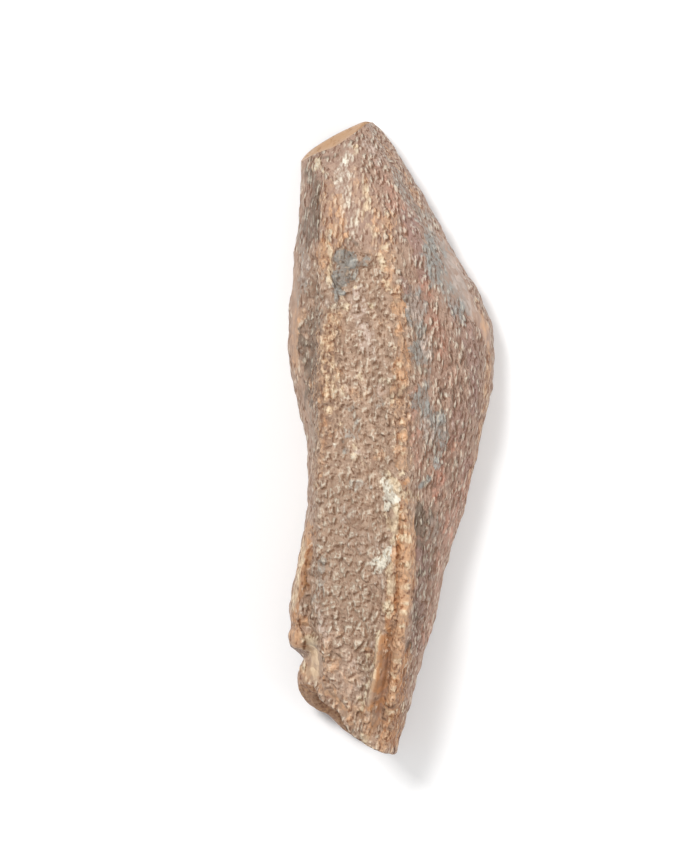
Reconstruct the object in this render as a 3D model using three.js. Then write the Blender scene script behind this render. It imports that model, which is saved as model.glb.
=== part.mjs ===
// Fossil tooth of a duck-billed dinosaur (Edmontosaurus), one solid piece of stone-hard
// dentine and enamel, lying on its enamelled side.
//
// Frame, in millimetres: +Y runs from the broken root to the worn tip, +X to the right as
// seen from above, +Z up. The origin is on the ground under the middle of the tooth's box.
//
// The skin is one sheet, lofted through feature lines that run from tip to root: the edges
// of the enamel, the broad pebbled face, the keel beside it, the valley and the low ridge
// on the flank, and the carina of the enamel underneath. The sheet is closed by the dished
// chewing facet at the tip and by the broken root, which opens into the pulp hollow.
import * as THREE from "three";

// Driving dimensions, in millimetres.
const LENGTH = 42;
const WIDTH = 13.7;
const DEPTH = 9.6;

// Feature lines, in order round the tooth, clockwise from the lower left as seen from the
// root. A point is [along, across, up]: along is a percentage of LENGTH from the tip,
// across of half of WIDTH from the middle, and up of DEPTH from the ground. facets is how
// many facets lie between a line and the next one.
const FEATURE_LINES = [
  {
    name: "left enamel edge",
    facets: 2,
    points: [
      [5.0, -81.5, 9], [13, -85, 6], [26, -92, 3], [34, -97, 0], [38, -96, 0], [46, -86, 1],
      [54, -76, 4], [62, -77, 8], [70, -86, 12], [78, -93, 15], [82, -92, 16],
      [84.6, -83, 17], [92, -82, 19],
    ],
  },
  {
    name: "left wall",
    facets: 4,
    points: [
      [6.2, -87, 24], [13, -88.5, 23], [18.8, -92.5, 22], [26.4, -96.5, 20], [30.3, -99, 19],
      [36, -100, 18], [39.8, -98, 20], [43.6, -92.5, 23], [47.5, -86.5, 27], [51.3, -81.5, 31],
      [60.8, -81, 35], [64.6, -84, 36], [70.4, -91, 37], [74.2, -96, 37], [78, -98, 37],
      [81.8, -97, 36], [83.5, -95, 35], [84.5, -87, 34], [85.7, -85.5, 33],
      [87.6, -90, 31], [90.2, -89, 29],
    ],
  },
  {
    name: "left rim",
    facets: 2,
    points: [
      [6.1, -82.5, 38], [12, -82, 43], [20, -85, 45], [28, -90, 43], [36, -92, 40],
      [44, -84, 44], [52, -77, 58], [60, -77, 64], [64.6, -81, 64], [71, -87, 69],
      [77.4, -92, 69], [82.2, -91, 65], [84.4, -82, 59], [88.9, -86, 46],
    ],
  },
  {
    name: "left valley",
    facets: 3,
    points: [
      [5.6, -77, 43], [12, -76, 54], [20, -77, 59], [28, -77, 55], [36, -79, 51],
      [44, -78, 58], [52, -75, 74], [60, -74, 81], [64.6, -75, 78], [71, -79.5, 73],
      [77.4, -83, 70], [82.2, -81, 67], [84.6, -77, 63], [89.4, -76.5, 54],
    ],
  },
  {
    name: "face, left edge",
    facets: 5,
    points: [
      [5.0, -68, 47], [12, -67, 65], [20, -66, 75], [30, -66, 84], [36, -69, 87],
      [44, -71, 90], [52, -70, 91], [60, -69, 91], [68, -70, 89], [76, -71, 85],
      [84, -70, 79], [91.2, -70, 63],
    ],
  },
  {
    name: "face, left of middle",
    facets: 6,
    points: [
      [4.5, -58, 50], [12, -49, 67], [20, -48, 77], [30, -46, 85], [44, -46, 91],
      [60, -46, 92], [76, -48, 88], [84, -52, 83], [93, -54, 71],
    ],
  },
  {
    name: "face, right of middle",
    facets: 5,
    points: [
      [2.9, -42, 50], [12, -30, 68], [20, -25, 78], [30, -19, 86], [44, -16, 93],
      [60, -17, 94], [76, -21, 90], [84, -26, 85], [97, -37, 75],
    ],
  },
  {
    name: "keel",
    facets: 4,
    points: [
      [1.1, -28, 46], [10.5, -18, 65], [17, -5, 75], [22, 0, 81], [28, 7, 88],
      [34.4, 11, 93], [44, 12, 98], [52, 12, 100], [60, 11, 100], [68, 9, 98], [76, 7, 95],
      [84, 3, 90], [92, 0, 83], [99.5, -10, 74],
    ],
  },
  {
    name: "flank valley",
    facets: 4,
    points: [
      [0.6, -24, 40], [7, -5, 54], [13.7, 9, 64], [20, 17, 71], [28, 23, 76],
      [35, 29, 79], [42, 32, 82], [50, 30, 84], [58, 26, 84], [66, 25, 82], [76, 22, 79],
      [84, 14, 75], [92, 8, 70], [99.8, -2, 62],
    ],
  },
  {
    name: "flank ridge",
    facets: 5,
    points: [
      [0.5, -22, 33], [8, 2, 48], [14.5, 18, 58], [21, 31, 66], [27.5, 43, 72],
      [35, 51, 76], [43.5, 54, 77], [52, 49, 75], [60, 43, 72], [68, 36, 69], [76, 29, 65],
      [84, 20, 61], [92, 12, 57], [100, 0, 52],
    ],
  },
  {
    name: "right shoulder",
    facets: 5,
    points: [
      [0.4, -20.5, 25], [8, 10, 35], [14.5, 30, 41], [21, 49, 46], [27.5, 70, 49],
      [35, 83, 52], [43.5, 83, 53], [52, 72, 53], [60, 61, 52], [68, 49, 50], [76, 39, 48],
      [84, 27, 46], [92, 15, 44], [100, 3, 40],
    ],
  },
  {
    name: "right wall",
    facets: 3,
    points: [
      [0.2, -18, 15], [1.6, -8.5, 17], [3.5, 0.5, 18], [7.3, 15, 19], [15, 42.5, 20],
      [18.8, 54, 20], [22.6, 68, 20], [28.3, 88, 19], [32.2, 97, 18], [36, 100, 18],
      [41.7, 98, 19], [45.5, 93, 20], [53.2, 83, 22], [60.8, 71.5, 24], [64.6, 64, 25],
      [70.4, 53, 26], [76.1, 46, 27], [87.6, 26, 28], [99.9, 5, 27],
    ],
  },
  {
    name: "right enamel edge",
    facets: 5,
    points: [
      [0.1, -20, 7], [7.5, 12, 6], [15, 39, 5], [22.6, 64, 3], [29, 86, 1], [34, 96, 0],
      [40, 95, 0], [46, 89, 1], [54, 78, 4], [62, 65, 7], [70, 49, 11], [80, 36, 14],
      [90, 19, 17], [99.7, 3, 19],
    ],
  },
  {
    name: "enamel, right hollow",
    facets: 4,
    points: [
      [0, -26, 6], [12, 5, 8], [20, 23, 9], [30, 44, 9.5], [38, 47, 9], [46, 42, 9],
      [56, 34, 9], [66, 23, 10], [76, 13, 13], [88, 2, 16], [99.4, -6, 17],
    ],
  },
  {
    name: "carina, right side",
    facets: 2,
    points: [
      [0.35, -32, 4], [12, -21, -0.4], [30, -3, -1], [46, 2, -1], [60, -1, -1],
      [70, -7, -0.6], [78, -13, 2], [88, -17, 10], [98.4, -21, 15],
    ],
  },
  {
    name: "carina, left side",
    facets: 4,
    points: [
      [1.0, -41, 4], [12, -33, -0.4], [30, -15, -1], [46, -10, -1], [60, -13, -1],
      [70, -19, -0.6], [78, -25, 2], [88, -31, 9], [97.1, -39.5, 14],
    ],
  },
  {
    name: "enamel, left hollow",
    facets: 4,
    points: [
      [2.7, -61, 7], [12, -59, 8], [20, -57, 9], [30, -57, 9.5], [38, -56, 9],
      [46, -49, 9], [56, -45, 9], [66, -50, 11], [76, -57, 13], [86, -60, 15],
      [93.9, -62, 17],
    ],
  },
];

// Rings of vertices from the chewing facet to the root.
const RINGS = 60;

// Small forms on the upper side. Places are [along, across] in the percentages above,
// width is the half width of a form and height its rise (or, negative, its depth) in mm.
const PITS = [
  { name: "scaled-off patch", at: [23.5, -46], size: [1.4, 0.85], height: -0.4 },
  { name: "scaled-off patch, arm", at: [22.2, -28], size: [0.5, 0.7], height: -0.3 },
  { name: "pock on the flank", at: [43.3, 51], size: [0.4, 0.35], height: -0.4 },
  { name: "crater by the root", at: [85, -58], size: [0.5, 0.7], height: -0.3 },
  { name: "flaked corner", at: [86, -77], size: [1.4, 0.7], height: -0.35 },
  { name: "swelling of the lobe", at: [81.5, -90], size: [0.7, 0.6], height: 0.3 },
];
const SEAMS = [
  {
    name: "brow over the scaled-off patch",
    path: [[20.3, -54], [19.2, -44], [19.3, -35], [20.4, -26]],
    width: 0.3,
    height: 0.22,
  },
  {
    name: "lamina",
    path: [[80, -9.5], [84, -10.5], [88, -15], [92, -20.5], [95, -24.5], [98, -26]],
    width: 0.3,
    height: 0.55,
  },
  {
    name: "groove beside the lamina",
    path: [[79, -3.5], [84, -4], [88, -6.5], [91, -10], [94, -14], [98, -18.5]],
    width: 0.36,
    height: -0.6,
  },
  {
    name: "split in the keel",
    path: [[60, 8], [66, 7], [72, 5.5], [77, 3], [83, -0.5]],
    width: 0.22,
    height: -0.26,
  },
  {
    name: "second row of the keel",
    path: [[60, 12.5], [68, 12.5], [74, 12], [78, 9], [83, 5.5], [88, 2], [94, -1]],
    width: 0.32,
    height: 0.24,
  },
  {
    name: "crack above the lobe",
    path: [[80.2, -97], [79.6, -88], [80.3, -79], [82.3, -69]],
    width: 0.26,
    height: -0.3,
  },
  {
    name: "step along the break",
    path: [[88.2, -76], [90.2, -64], [92, -53], [94.5, -42]],
    width: 0.3,
    height: -0.22,
  },
];

// Lumps of the pebbled skin, as coarse as the facets can carry.
const PEBBLE_SIZE = 1.25;
const PEBBLE_HEIGHT = 0.16;

// Ends: the facet is dished, and the root is a rim round the pulp hollow.
const FACET_DISH = 0.3;
const FACET_INSETS = [0.12, 0.4, 0.7];
const ROOT_INSETS = [0.14, 0.3, 0.42, 0.56, 0.76];
const HOLLOW_DEPTH = 3.2;

const mix = THREE.MathUtils.lerp;
const smoothstep = THREE.MathUtils.smoothstep;

// Monotone cubic through [position, value, value ...] points: smooth, with no overshoot.
function curveThrough(points) {
  const last = points.length - 1;
  const slopes = (k) => {
    const steps = [];
    for (let i = 0; i < last; i++) {
      const run = points[i + 1][0] - points[i][0];
      steps.push((points[i + 1][k] - points[i][k]) / run);
    }
    return points.map((_, i) => {
      if (i === 0) return steps[0];
      if (i === last) return steps[last - 1];
      const [a, b] = [steps[i - 1], steps[i]];
      return a * b <= 0 ? 0 : (2 * a * b) / (a + b);
    });
  };
  const slope = [null, slopes(1), slopes(2)];
  return (at) => {
    let i = 0;
    while (i < last - 1 && at > points[i + 1][0]) i++;
    const run = points[i + 1][0] - points[i][0];
    const t = (at - points[i][0]) / run;
    const value = (k) =>
      (1 + 2 * t) * (1 - t) ** 2 * points[i][k] +
      t * (1 - t) ** 2 * run * slope[k][i] +
      t * t * (3 - 2 * t) * points[i + 1][k] +
      t * t * (t - 1) * run * slope[k][i + 1];
    return [value(1), value(2)];
  };
}

// Percentages [along, across, up] to a point in millimetres.
function place(along, across, up) {
  const x = (across / 100) * (WIDTH / 2);
  const y = (0.5 - along / 100) * LENGTH;
  return new THREE.Vector3(x, y, (up / 100) * DEPTH);
}

// The feature lines' own points at share u of the way from tip to root.
const lineCurves = FEATURE_LINES.map(({ points }) => curveThrough(points));
function knotsAt(u) {
  return FEATURE_LINES.map(({ points }, k) => {
    const along = mix(points[0][0], points[points.length - 1][0], u);
    const [across, up] = lineCurves[k](along);
    return place(along, across, up);
  });
}

// Cubic Hermite round the closed ring of knots, spaced by the number of facets between them.
function ringAt(u) {
  const knots = knotsAt(u);
  const count = knots.length;
  const spacing = FEATURE_LINES.map(({ facets }) => facets);
  const tangent = (k) => {
    const before = spacing[(k + count - 1) % count];
    const after = spacing[k];
    const back = knots[k].clone().sub(knots[(k + count - 1) % count]);
    const ahead = knots[(k + 1) % count].clone().sub(knots[k]);
    return ahead
      .multiplyScalar(before / after)
      .add(back.multiplyScalar(after / before))
      .divideScalar(before + after);
  };
  const ring = [];
  for (let k = 0; k < count; k++) {
    const [a, b] = [knots[k], knots[(k + 1) % count]];
    const [ta, tb] = [tangent(k), tangent((k + 1) % count)];
    const run = spacing[k];
    for (let step = 0; step < run; step++) {
      const t = step / run;
      ring.push(
        new THREE.Vector3()
          .addScaledVector(a, (1 + 2 * t) * (1 - t) ** 2)
          .addScaledVector(ta, t * (1 - t) ** 2 * run)
          .addScaledVector(b, t * t * (3 - 2 * t))
          .addScaledVector(tb, t * t * (t - 1) * run),
      );
    }
  }
  return ring;
}

// Distance from a point to the polyline of a seam, in the XY plane, and the share of the
// seam's length at the nearest point.
function nearestOnPath(x, y, path) {
  let best = { distance: Infinity, share: 0 };
  const legs = path.length - 1;
  for (let i = 0; i < legs; i++) {
    const a = place(...path[i], 0);
    const b = place(...path[i + 1], 0);
    const [dx, dy] = [b.x - a.x, b.y - a.y];
    const raw = ((x - a.x) * dx + (y - a.y) * dy) / (dx * dx + dy * dy);
    const t = THREE.MathUtils.clamp(raw, 0, 1);
    const distance = Math.hypot(x - a.x - t * dx, y - a.y - t * dy);
    if (distance < best.distance) best = { distance, share: (i + t) / legs };
  }
  return best;
}

// Rise of the small forms at a place on the upper side: smooth bumps for the pits, and
// bell-shaped ridges that fade at both ends for the seams.
function reliefAt(x, y) {
  let rise = 0;
  for (const { at, size, height } of PITS) {
    const centre = place(...at, 0);
    const reach = Math.hypot((y - centre.y) / size[0], (x - centre.x) / size[1]);
    rise += height * (1 - smoothstep(reach, 0.55, 1.25));
  }
  for (const { path, width, height } of SEAMS) {
    const { distance, share } = nearestOnPath(x, y, path);
    const fade = smoothstep(share, 0, 0.12) * (1 - smoothstep(share, 0.9, 1));
    rise += height * fade * Math.exp(-((distance / width) ** 2));
  }
  return rise;
}

// Repeatable pseudo-random value from 0 to 1 for a cell of the pebble grid.
function cellValue(i, j, k, salt) {
  const s = Math.sin(i * 127.1 + j * 311.7 + k * 74.7 + salt * 53.3) * 43758.5453;
  return s - Math.floor(s);
}

// Rounded lumps: 1 at the middle of a pebble, falling to 0 half a cell away.
function pebbleAt(point) {
  const p = point.clone().divideScalar(PEBBLE_SIZE);
  const [ci, cj, ck] = [Math.floor(p.x), Math.floor(p.y), Math.floor(p.z)];
  let nearest = Infinity;
  for (let i = ci - 1; i <= ci + 1; i++)
    for (let j = cj - 1; j <= cj + 1; j++)
      for (let k = ck - 1; k <= ck + 1; k++) {
        const seed = new THREE.Vector3(
          i + cellValue(i, j, k, 1),
          j + cellValue(i, j, k, 2),
          k + cellValue(i, j, k, 3),
        );
        nearest = Math.min(nearest, seed.distanceTo(p));
      }
  return Math.max(0, 1 - nearest / 0.75);
}

// Outward direction at a vertex of the skin, from its neighbours along and round the tooth.
function outwardAt(rings, i, j) {
  const around = rings[i].length;
  const ahead = rings[Math.min(i + 1, rings.length - 1)][j];
  const back = rings[Math.max(i - 1, 0)][j];
  const along = ahead.clone().sub(back);
  const across = rings[i][(j + 1) % around].clone().sub(rings[i][(j + around - 1) % around]);
  return along.cross(across).normalize();
}

// The skin: rings from tip to root, with the small forms on the upper side and the pebbles
// everywhere but on the enamel, and nothing below the ground.
function skinRings() {
  const smooth = [];
  for (let i = 0; i < RINGS; i++) smooth.push(ringAt(i / (RINGS - 1)));
  return smooth.map((ring, i) =>
    ring.map((point, j) => {
      const outward = outwardAt(smooth, i, j);
      const upper = smoothstep(outward.z, -0.1, 0.25);
      const sides = smoothstep(outward.z, -0.45, -0.05);
      const clearOfFacet = smoothstep(i / RINGS, 0, 0.05);
      const pebbles = PEBBLE_HEIGHT * (pebbleAt(point) - 0.4) * sides * clearOfFacet;
      const rise = pebbles + upper * reliefAt(point.x, point.y);
      const moved = point.clone().addScaledVector(outward, rise);
      moved.z = Math.max(moved.z, 0);
      return moved;
    }),
  );
}

// Rings that close an end: each lies an inset share of the way from the rim to the middle,
// moved along Y by the end's own profile. The last entry is the single middle point.
function closingRings(rim, insets, profile) {
  const middle = new THREE.Vector3();
  for (const p of rim) middle.add(p);
  middle.divideScalar(rim.length);
  const moved = (p, share) => {
    const q = p.clone().lerp(middle, share);
    q.y += profile(share);
    return q;
  };
  return {
    rings: insets.map((share) => rim.map((p) => moved(p, share))),
    middle: moved(middle, 1),
  };
}

// Profiles of the two ends: how far towards +Y each share of the way to the middle lies.
const facetProfile = (share) => -FACET_DISH * smoothstep(share, 0.05, 0.6);
const hollowProfile = (share) => HOLLOW_DEPTH * smoothstep(share, 0.2, 0.7);

function toothGeometry() {
  const skin = skinRings();
  const tip = closingRings(skin[0], FACET_INSETS, facetProfile);
  const root = closingRings(skin[RINGS - 1], ROOT_INSETS, hollowProfile);
  const sheet = [...tip.rings.reverse(), ...skin, ...root.rings];
  const around = skin[0].length;
  const points = [...sheet.flat(), tip.middle, root.middle];
  const triangles = [];
  for (let i = 0; i < sheet.length - 1; i++)
    for (let j = 0; j < around; j++) {
      const next = (j + 1) % around;
      const [a, b] = [i * around + j, i * around + next];
      const [c, d] = [a + around, b + around];
      triangles.push(a, c, b, b, c, d);
    }
  const tipMiddle = sheet.length * around;
  const lastRing = (sheet.length - 1) * around;
  for (let j = 0; j < around; j++) {
    const next = (j + 1) % around;
    triangles.push(tipMiddle, j, next);
    triangles.push(tipMiddle + 1, lastRing + next, lastRing + j);
  }
  const geometry = new THREE.BufferGeometry().setFromPoints(points);
  geometry.setIndex(triangles);
  geometry.computeBoundingBox();
  const centre = geometry.boundingBox.getCenter(new THREE.Vector3());
  geometry.translate(-centre.x, -centre.y, -geometry.boundingBox.min.z);
  geometry.computeVertexNormals();
  return geometry;
}

const fossil = new THREE.MeshStandardMaterial({
  color: 0xb89c86,
  roughness: 0.6,
  metalness: 0,
});

const tooth = new THREE.Mesh(toothGeometry(), fossil);
tooth.name = "tooth";

const part = new THREE.Group();
part.name = "edmontosaurus_tooth";
part.add(tooth);

export default part;
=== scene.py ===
"""Fossil tooth of a duck-billed dinosaur, laid on a pale floor on its enamelled side.

The tooth is one piece. Its skin is a sheet of two parameters: u runs from the worn tip to the
broken root, and v runs once round the tooth, through feature lines given in percentages of the
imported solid's box. Small forms, granules and beads move the sheet along its own outward
direction, and closing rings make the chewing facet and the root with its pulp hollow. Stains
are laid on as masks, one vertex attribute for each pigment, and the materials mix them.

Lengths inside the classes are in millimetres, with +Y from root to tip and +Z up. The mesh is
made in metres.
"""
import logging
from collections.abc import Iterator
from dataclasses import dataclass, field
from enum import Enum, IntEnum

import bpy
import numpy as np
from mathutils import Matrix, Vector

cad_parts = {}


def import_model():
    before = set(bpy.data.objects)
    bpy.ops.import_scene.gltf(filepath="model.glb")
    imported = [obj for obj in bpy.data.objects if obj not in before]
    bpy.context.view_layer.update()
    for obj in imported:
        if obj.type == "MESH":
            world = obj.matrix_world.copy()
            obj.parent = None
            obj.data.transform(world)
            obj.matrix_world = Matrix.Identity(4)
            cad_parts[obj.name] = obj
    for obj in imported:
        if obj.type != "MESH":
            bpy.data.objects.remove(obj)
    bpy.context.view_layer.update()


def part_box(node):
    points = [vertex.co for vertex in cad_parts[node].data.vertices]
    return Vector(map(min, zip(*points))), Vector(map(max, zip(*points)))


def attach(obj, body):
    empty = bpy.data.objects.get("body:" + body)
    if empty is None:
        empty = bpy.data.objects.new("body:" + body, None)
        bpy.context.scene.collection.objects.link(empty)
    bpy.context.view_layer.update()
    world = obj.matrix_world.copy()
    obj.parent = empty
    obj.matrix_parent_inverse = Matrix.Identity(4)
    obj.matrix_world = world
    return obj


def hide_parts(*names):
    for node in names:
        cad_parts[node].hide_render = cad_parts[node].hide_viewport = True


Array = np.ndarray
Place = tuple[float, float]
Log = logging.getLogger("tooth")

MM = 0.001
NODE = "tooth"

# What turns a cell's indices and its salt into an angle, and the stretch of that angle's sine.
HASH_AXES = np.array([127.1, 311.7, 74.7])
HASH_SALT = 53.3
HASH_STRETCH = 43758.5453


class Salt(IntEnum):
    """Numbers that tell one scatter or noise from another."""

    LUMPS = 0
    ROUND_GRANULES = 11
    LONG_GRANULES = 21
    WANDER = 31
    WARP = 41
    CRACKLE = 61
    BEADS = 91


# ---------------------------------------------------------------- whole-array mathematics


def smoothstep(value: Array, low: float, high: float) -> Array:
    """Eased ramp from 0 at low to 1 at high: 3 t squared less 2 t cubed."""
    t = np.clip((value - low) / (high - low), 0, 1)
    return t * t * (3 - 2 * t)


def hermite(a: Array, slope_a: Array, b: Array, slope_b: Array, t: Array, run: Array) -> Array:
    """Cubic Hermite blend from a to b over a run, leaving a and meeting b with their slopes.

    Args:
        a: Values at the start.
        slope_a: Slopes at the start.
        b: Values at the end.
        slope_b: Slopes at the end.
        t: Share of the run, from 0 to 1.
        run: Length of the run.

    Returns:
        (1 + 2t)(1 - t)^2 a + t(1 - t)^2 run slope_a + t^2(3 - 2t) b + t^2(t - 1) run slope_b.
    """
    return (
        (1 + 2 * t) * (1 - t) ** 2 * a
        + t * (1 - t) ** 2 * run * slope_a
        + t * t * (3 - 2 * t) * b
        + t * t * (t - 1) * run * slope_b
    )


def curve_through(rows: tuple, at: Array) -> Array:
    """Monotone cubic through rows of [position, value, value ...]: smooth, with no overshoot.

    A row's slope is the harmonic mean of the chord slopes beside it, or 0 where they differ
    in sign.

    Args:
        rows: The rows, in order of position.
        at: Positions to read.

    Returns:
        One row of values for each position.
    """
    table = np.asarray(rows, float)
    positions, values = table[:, 0], table[:, 1:]
    runs = np.diff(positions)
    chords = np.diff(values, axis=0) / runs[:, None]
    before, after = chords[:-1], chords[1:]
    same_way = before * after > 0
    total = np.where(same_way, before + after, 1)
    slopes = np.vstack([chords[:1], np.where(same_way, 2 * before * after / total, 0), chords[-1:]])
    leg = np.clip(np.searchsorted(positions, at) - 1, 0, len(runs) - 1)
    t = ((at - positions[leg]) / runs[leg])[:, None]
    run = runs[leg][:, None]
    return hermite(values[leg], slopes[leg], values[leg + 1], slopes[leg + 1], t, run)


def cell_value(cells: Array, salt: int) -> Array:
    """Repeatable value from 0 to 1 for each cell: the fraction of a large sine of its indices."""
    s = np.sin(cells @ HASH_AXES + salt * HASH_SALT) * HASH_STRETCH
    return s - np.floor(s)


def cloud(points: Array, size: float, salt: int, octaves: int = 3) -> Array:
    """Soft noise from 0 to 1: random values at the corners of cubes, blended by eased shares.

    Each octave has half the size and half the weight of the one before it.

    Args:
        points: Places in millimetres, with the three axes last.
        size: Side of the largest cubes, in millimetres.
        salt: Number that tells one noise from another.
        octaves: How many layers are summed.

    Returns:
        The noise at each place.
    """
    total, weight = np.zeros(points.shape[:-1]), 0.0
    for octave in range(octaves):
        p = points / size * 2**octave
        base = np.floor(p)
        share = smoothstep(p - base, 0, 1)
        layer = np.zeros(points.shape[:-1])
        for corner in np.ndindex(2, 2, 2):
            near = np.where(np.array(corner) == 1, share, 1 - share).prod(-1)
            layer += near * cell_value(base + corner, salt + 7 * octave)
        total += layer / 2**octave
        weight += 1 / 2**octave
    return total / weight


@dataclass(frozen=True)
class Cells:
    """Random cells round scattered seeds, measured at each place, in cells.

    Attributes:
        nearest: Distance to the nearest seed.
        border: How much farther the second seed is, which is 0 between two cells.
        shade: Random value from 0 to 1 that a whole cell shares.
        seed: The nearest seed's own place, in millimetres.
    """

    nearest: Array
    border: Array
    shade: Array
    seed: Array

    @classmethod
    def around(cls, points: Array, size: tuple[float, float, float], salt: int) -> "Cells":
        """Puts one seed at random in each box of a lattice and measures the nearest two.

        Args:
            points: Places in millimetres, with the three axes last.
            size: The box's three sides, in millimetres.
            salt: Number that tells one scatter from another.

        Returns:
            The cells as seen from each place.
        """
        p = points / np.array(size)
        home = np.floor(p)
        first = np.full(p.shape[:-1], np.inf)
        second = np.full(p.shape[:-1], np.inf)
        shade = np.zeros(p.shape[:-1])
        nearest_seed = np.zeros_like(p)
        for offset in np.ndindex(3, 3, 3):
            cell = home + offset - 1
            seed = cell + np.stack([cell_value(cell, salt + axis) for axis in (1, 2, 3)], -1)
            distance = np.linalg.norm(seed - p, axis=-1)
            closer = distance < first
            second = np.where(closer, first, np.minimum(second, distance))
            shade = np.where(closer, cell_value(cell, salt + 4), shade)
            nearest_seed = np.where(closer[..., None], seed, nearest_seed)
            first = np.where(closer, distance, first)
        return cls(first, second - first, shade, nearest_seed * size)


# ---------------------------------------------------------------- pigments and their places


class Pigment(Enum):
    """What has coloured the fossil, as sRGB shares from 0 to 1."""

    TAN_DARK = (0.570, 0.469, 0.395)
    TAN_LIGHT = (0.775, 0.658, 0.565)
    SLATE = (0.555, 0.550, 0.530)
    RUST = (0.690, 0.505, 0.430)
    PLUM = (0.600, 0.480, 0.440)
    UMBER = (0.470, 0.400, 0.340)
    AMBER = (0.765, 0.600, 0.460)
    ASH = (0.730, 0.650, 0.600)
    CREAM = (0.840, 0.760, 0.640)
    CHALK = (0.880, 0.855, 0.790)
    # Colour of the painted highlight on lit tops.
    BONE = (0.820, 0.775, 0.700)
    OCHRE = (0.690, 0.495, 0.335)
    HONEY = (0.700, 0.550, 0.405)
    CLAY = (0.680, 0.530, 0.390)
    PALEST = (0.890, 0.865, 0.800)
    # Dark brown of the broken wall, and the colour of painted shade in crevices and the pulp hollow.
    SOOT = (0.560, 0.420, 0.330)
    # Also the colour of dirt and painted shade in crevices and on the grains' far sides.
    SIENNA = (0.680, 0.560, 0.445)

    @property
    def linear(self) -> tuple[float, float, float, float]:
        """The colour as linear light, with full alpha."""
        parts = [c / 12.92 if c <= 0.04045 else ((c + 0.055) / 1.055) ** 2.4 for c in self.value]
        return (*parts, 1.0)


class Mask(Enum):
    """What a mark lays on the skin. The value names its vertex attribute."""

    SLATE = "slate"
    RUST = "rust"
    PLUM = "plum"
    UMBER = "umber"
    AMBER = "amber"
    OCHRE = "ochre"
    ASH = "ash"
    CREAM = "cream"
    CHALK = "chalk"
    SMOOTH = "smooth"
    COARSE = "coarse"


@dataclass(frozen=True)
class Mark:
    """A soft-edged stroke, or a spot where it has one row.

    Attributes:
        strength: How much it lays on in its middle, from 0 to 1.
        rows: Its path as [along, across, half width], in percentages and a length in millimetres.
    """

    strength: float
    rows: tuple[tuple[float, float, float], ...]


def spots(strength: float, *rows: tuple[float, float, float]) -> tuple[Mark, ...]:
    """Separate spots of one strength, each a mark of one row."""
    return tuple(Mark(strength, (row,)) for row in rows)


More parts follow.
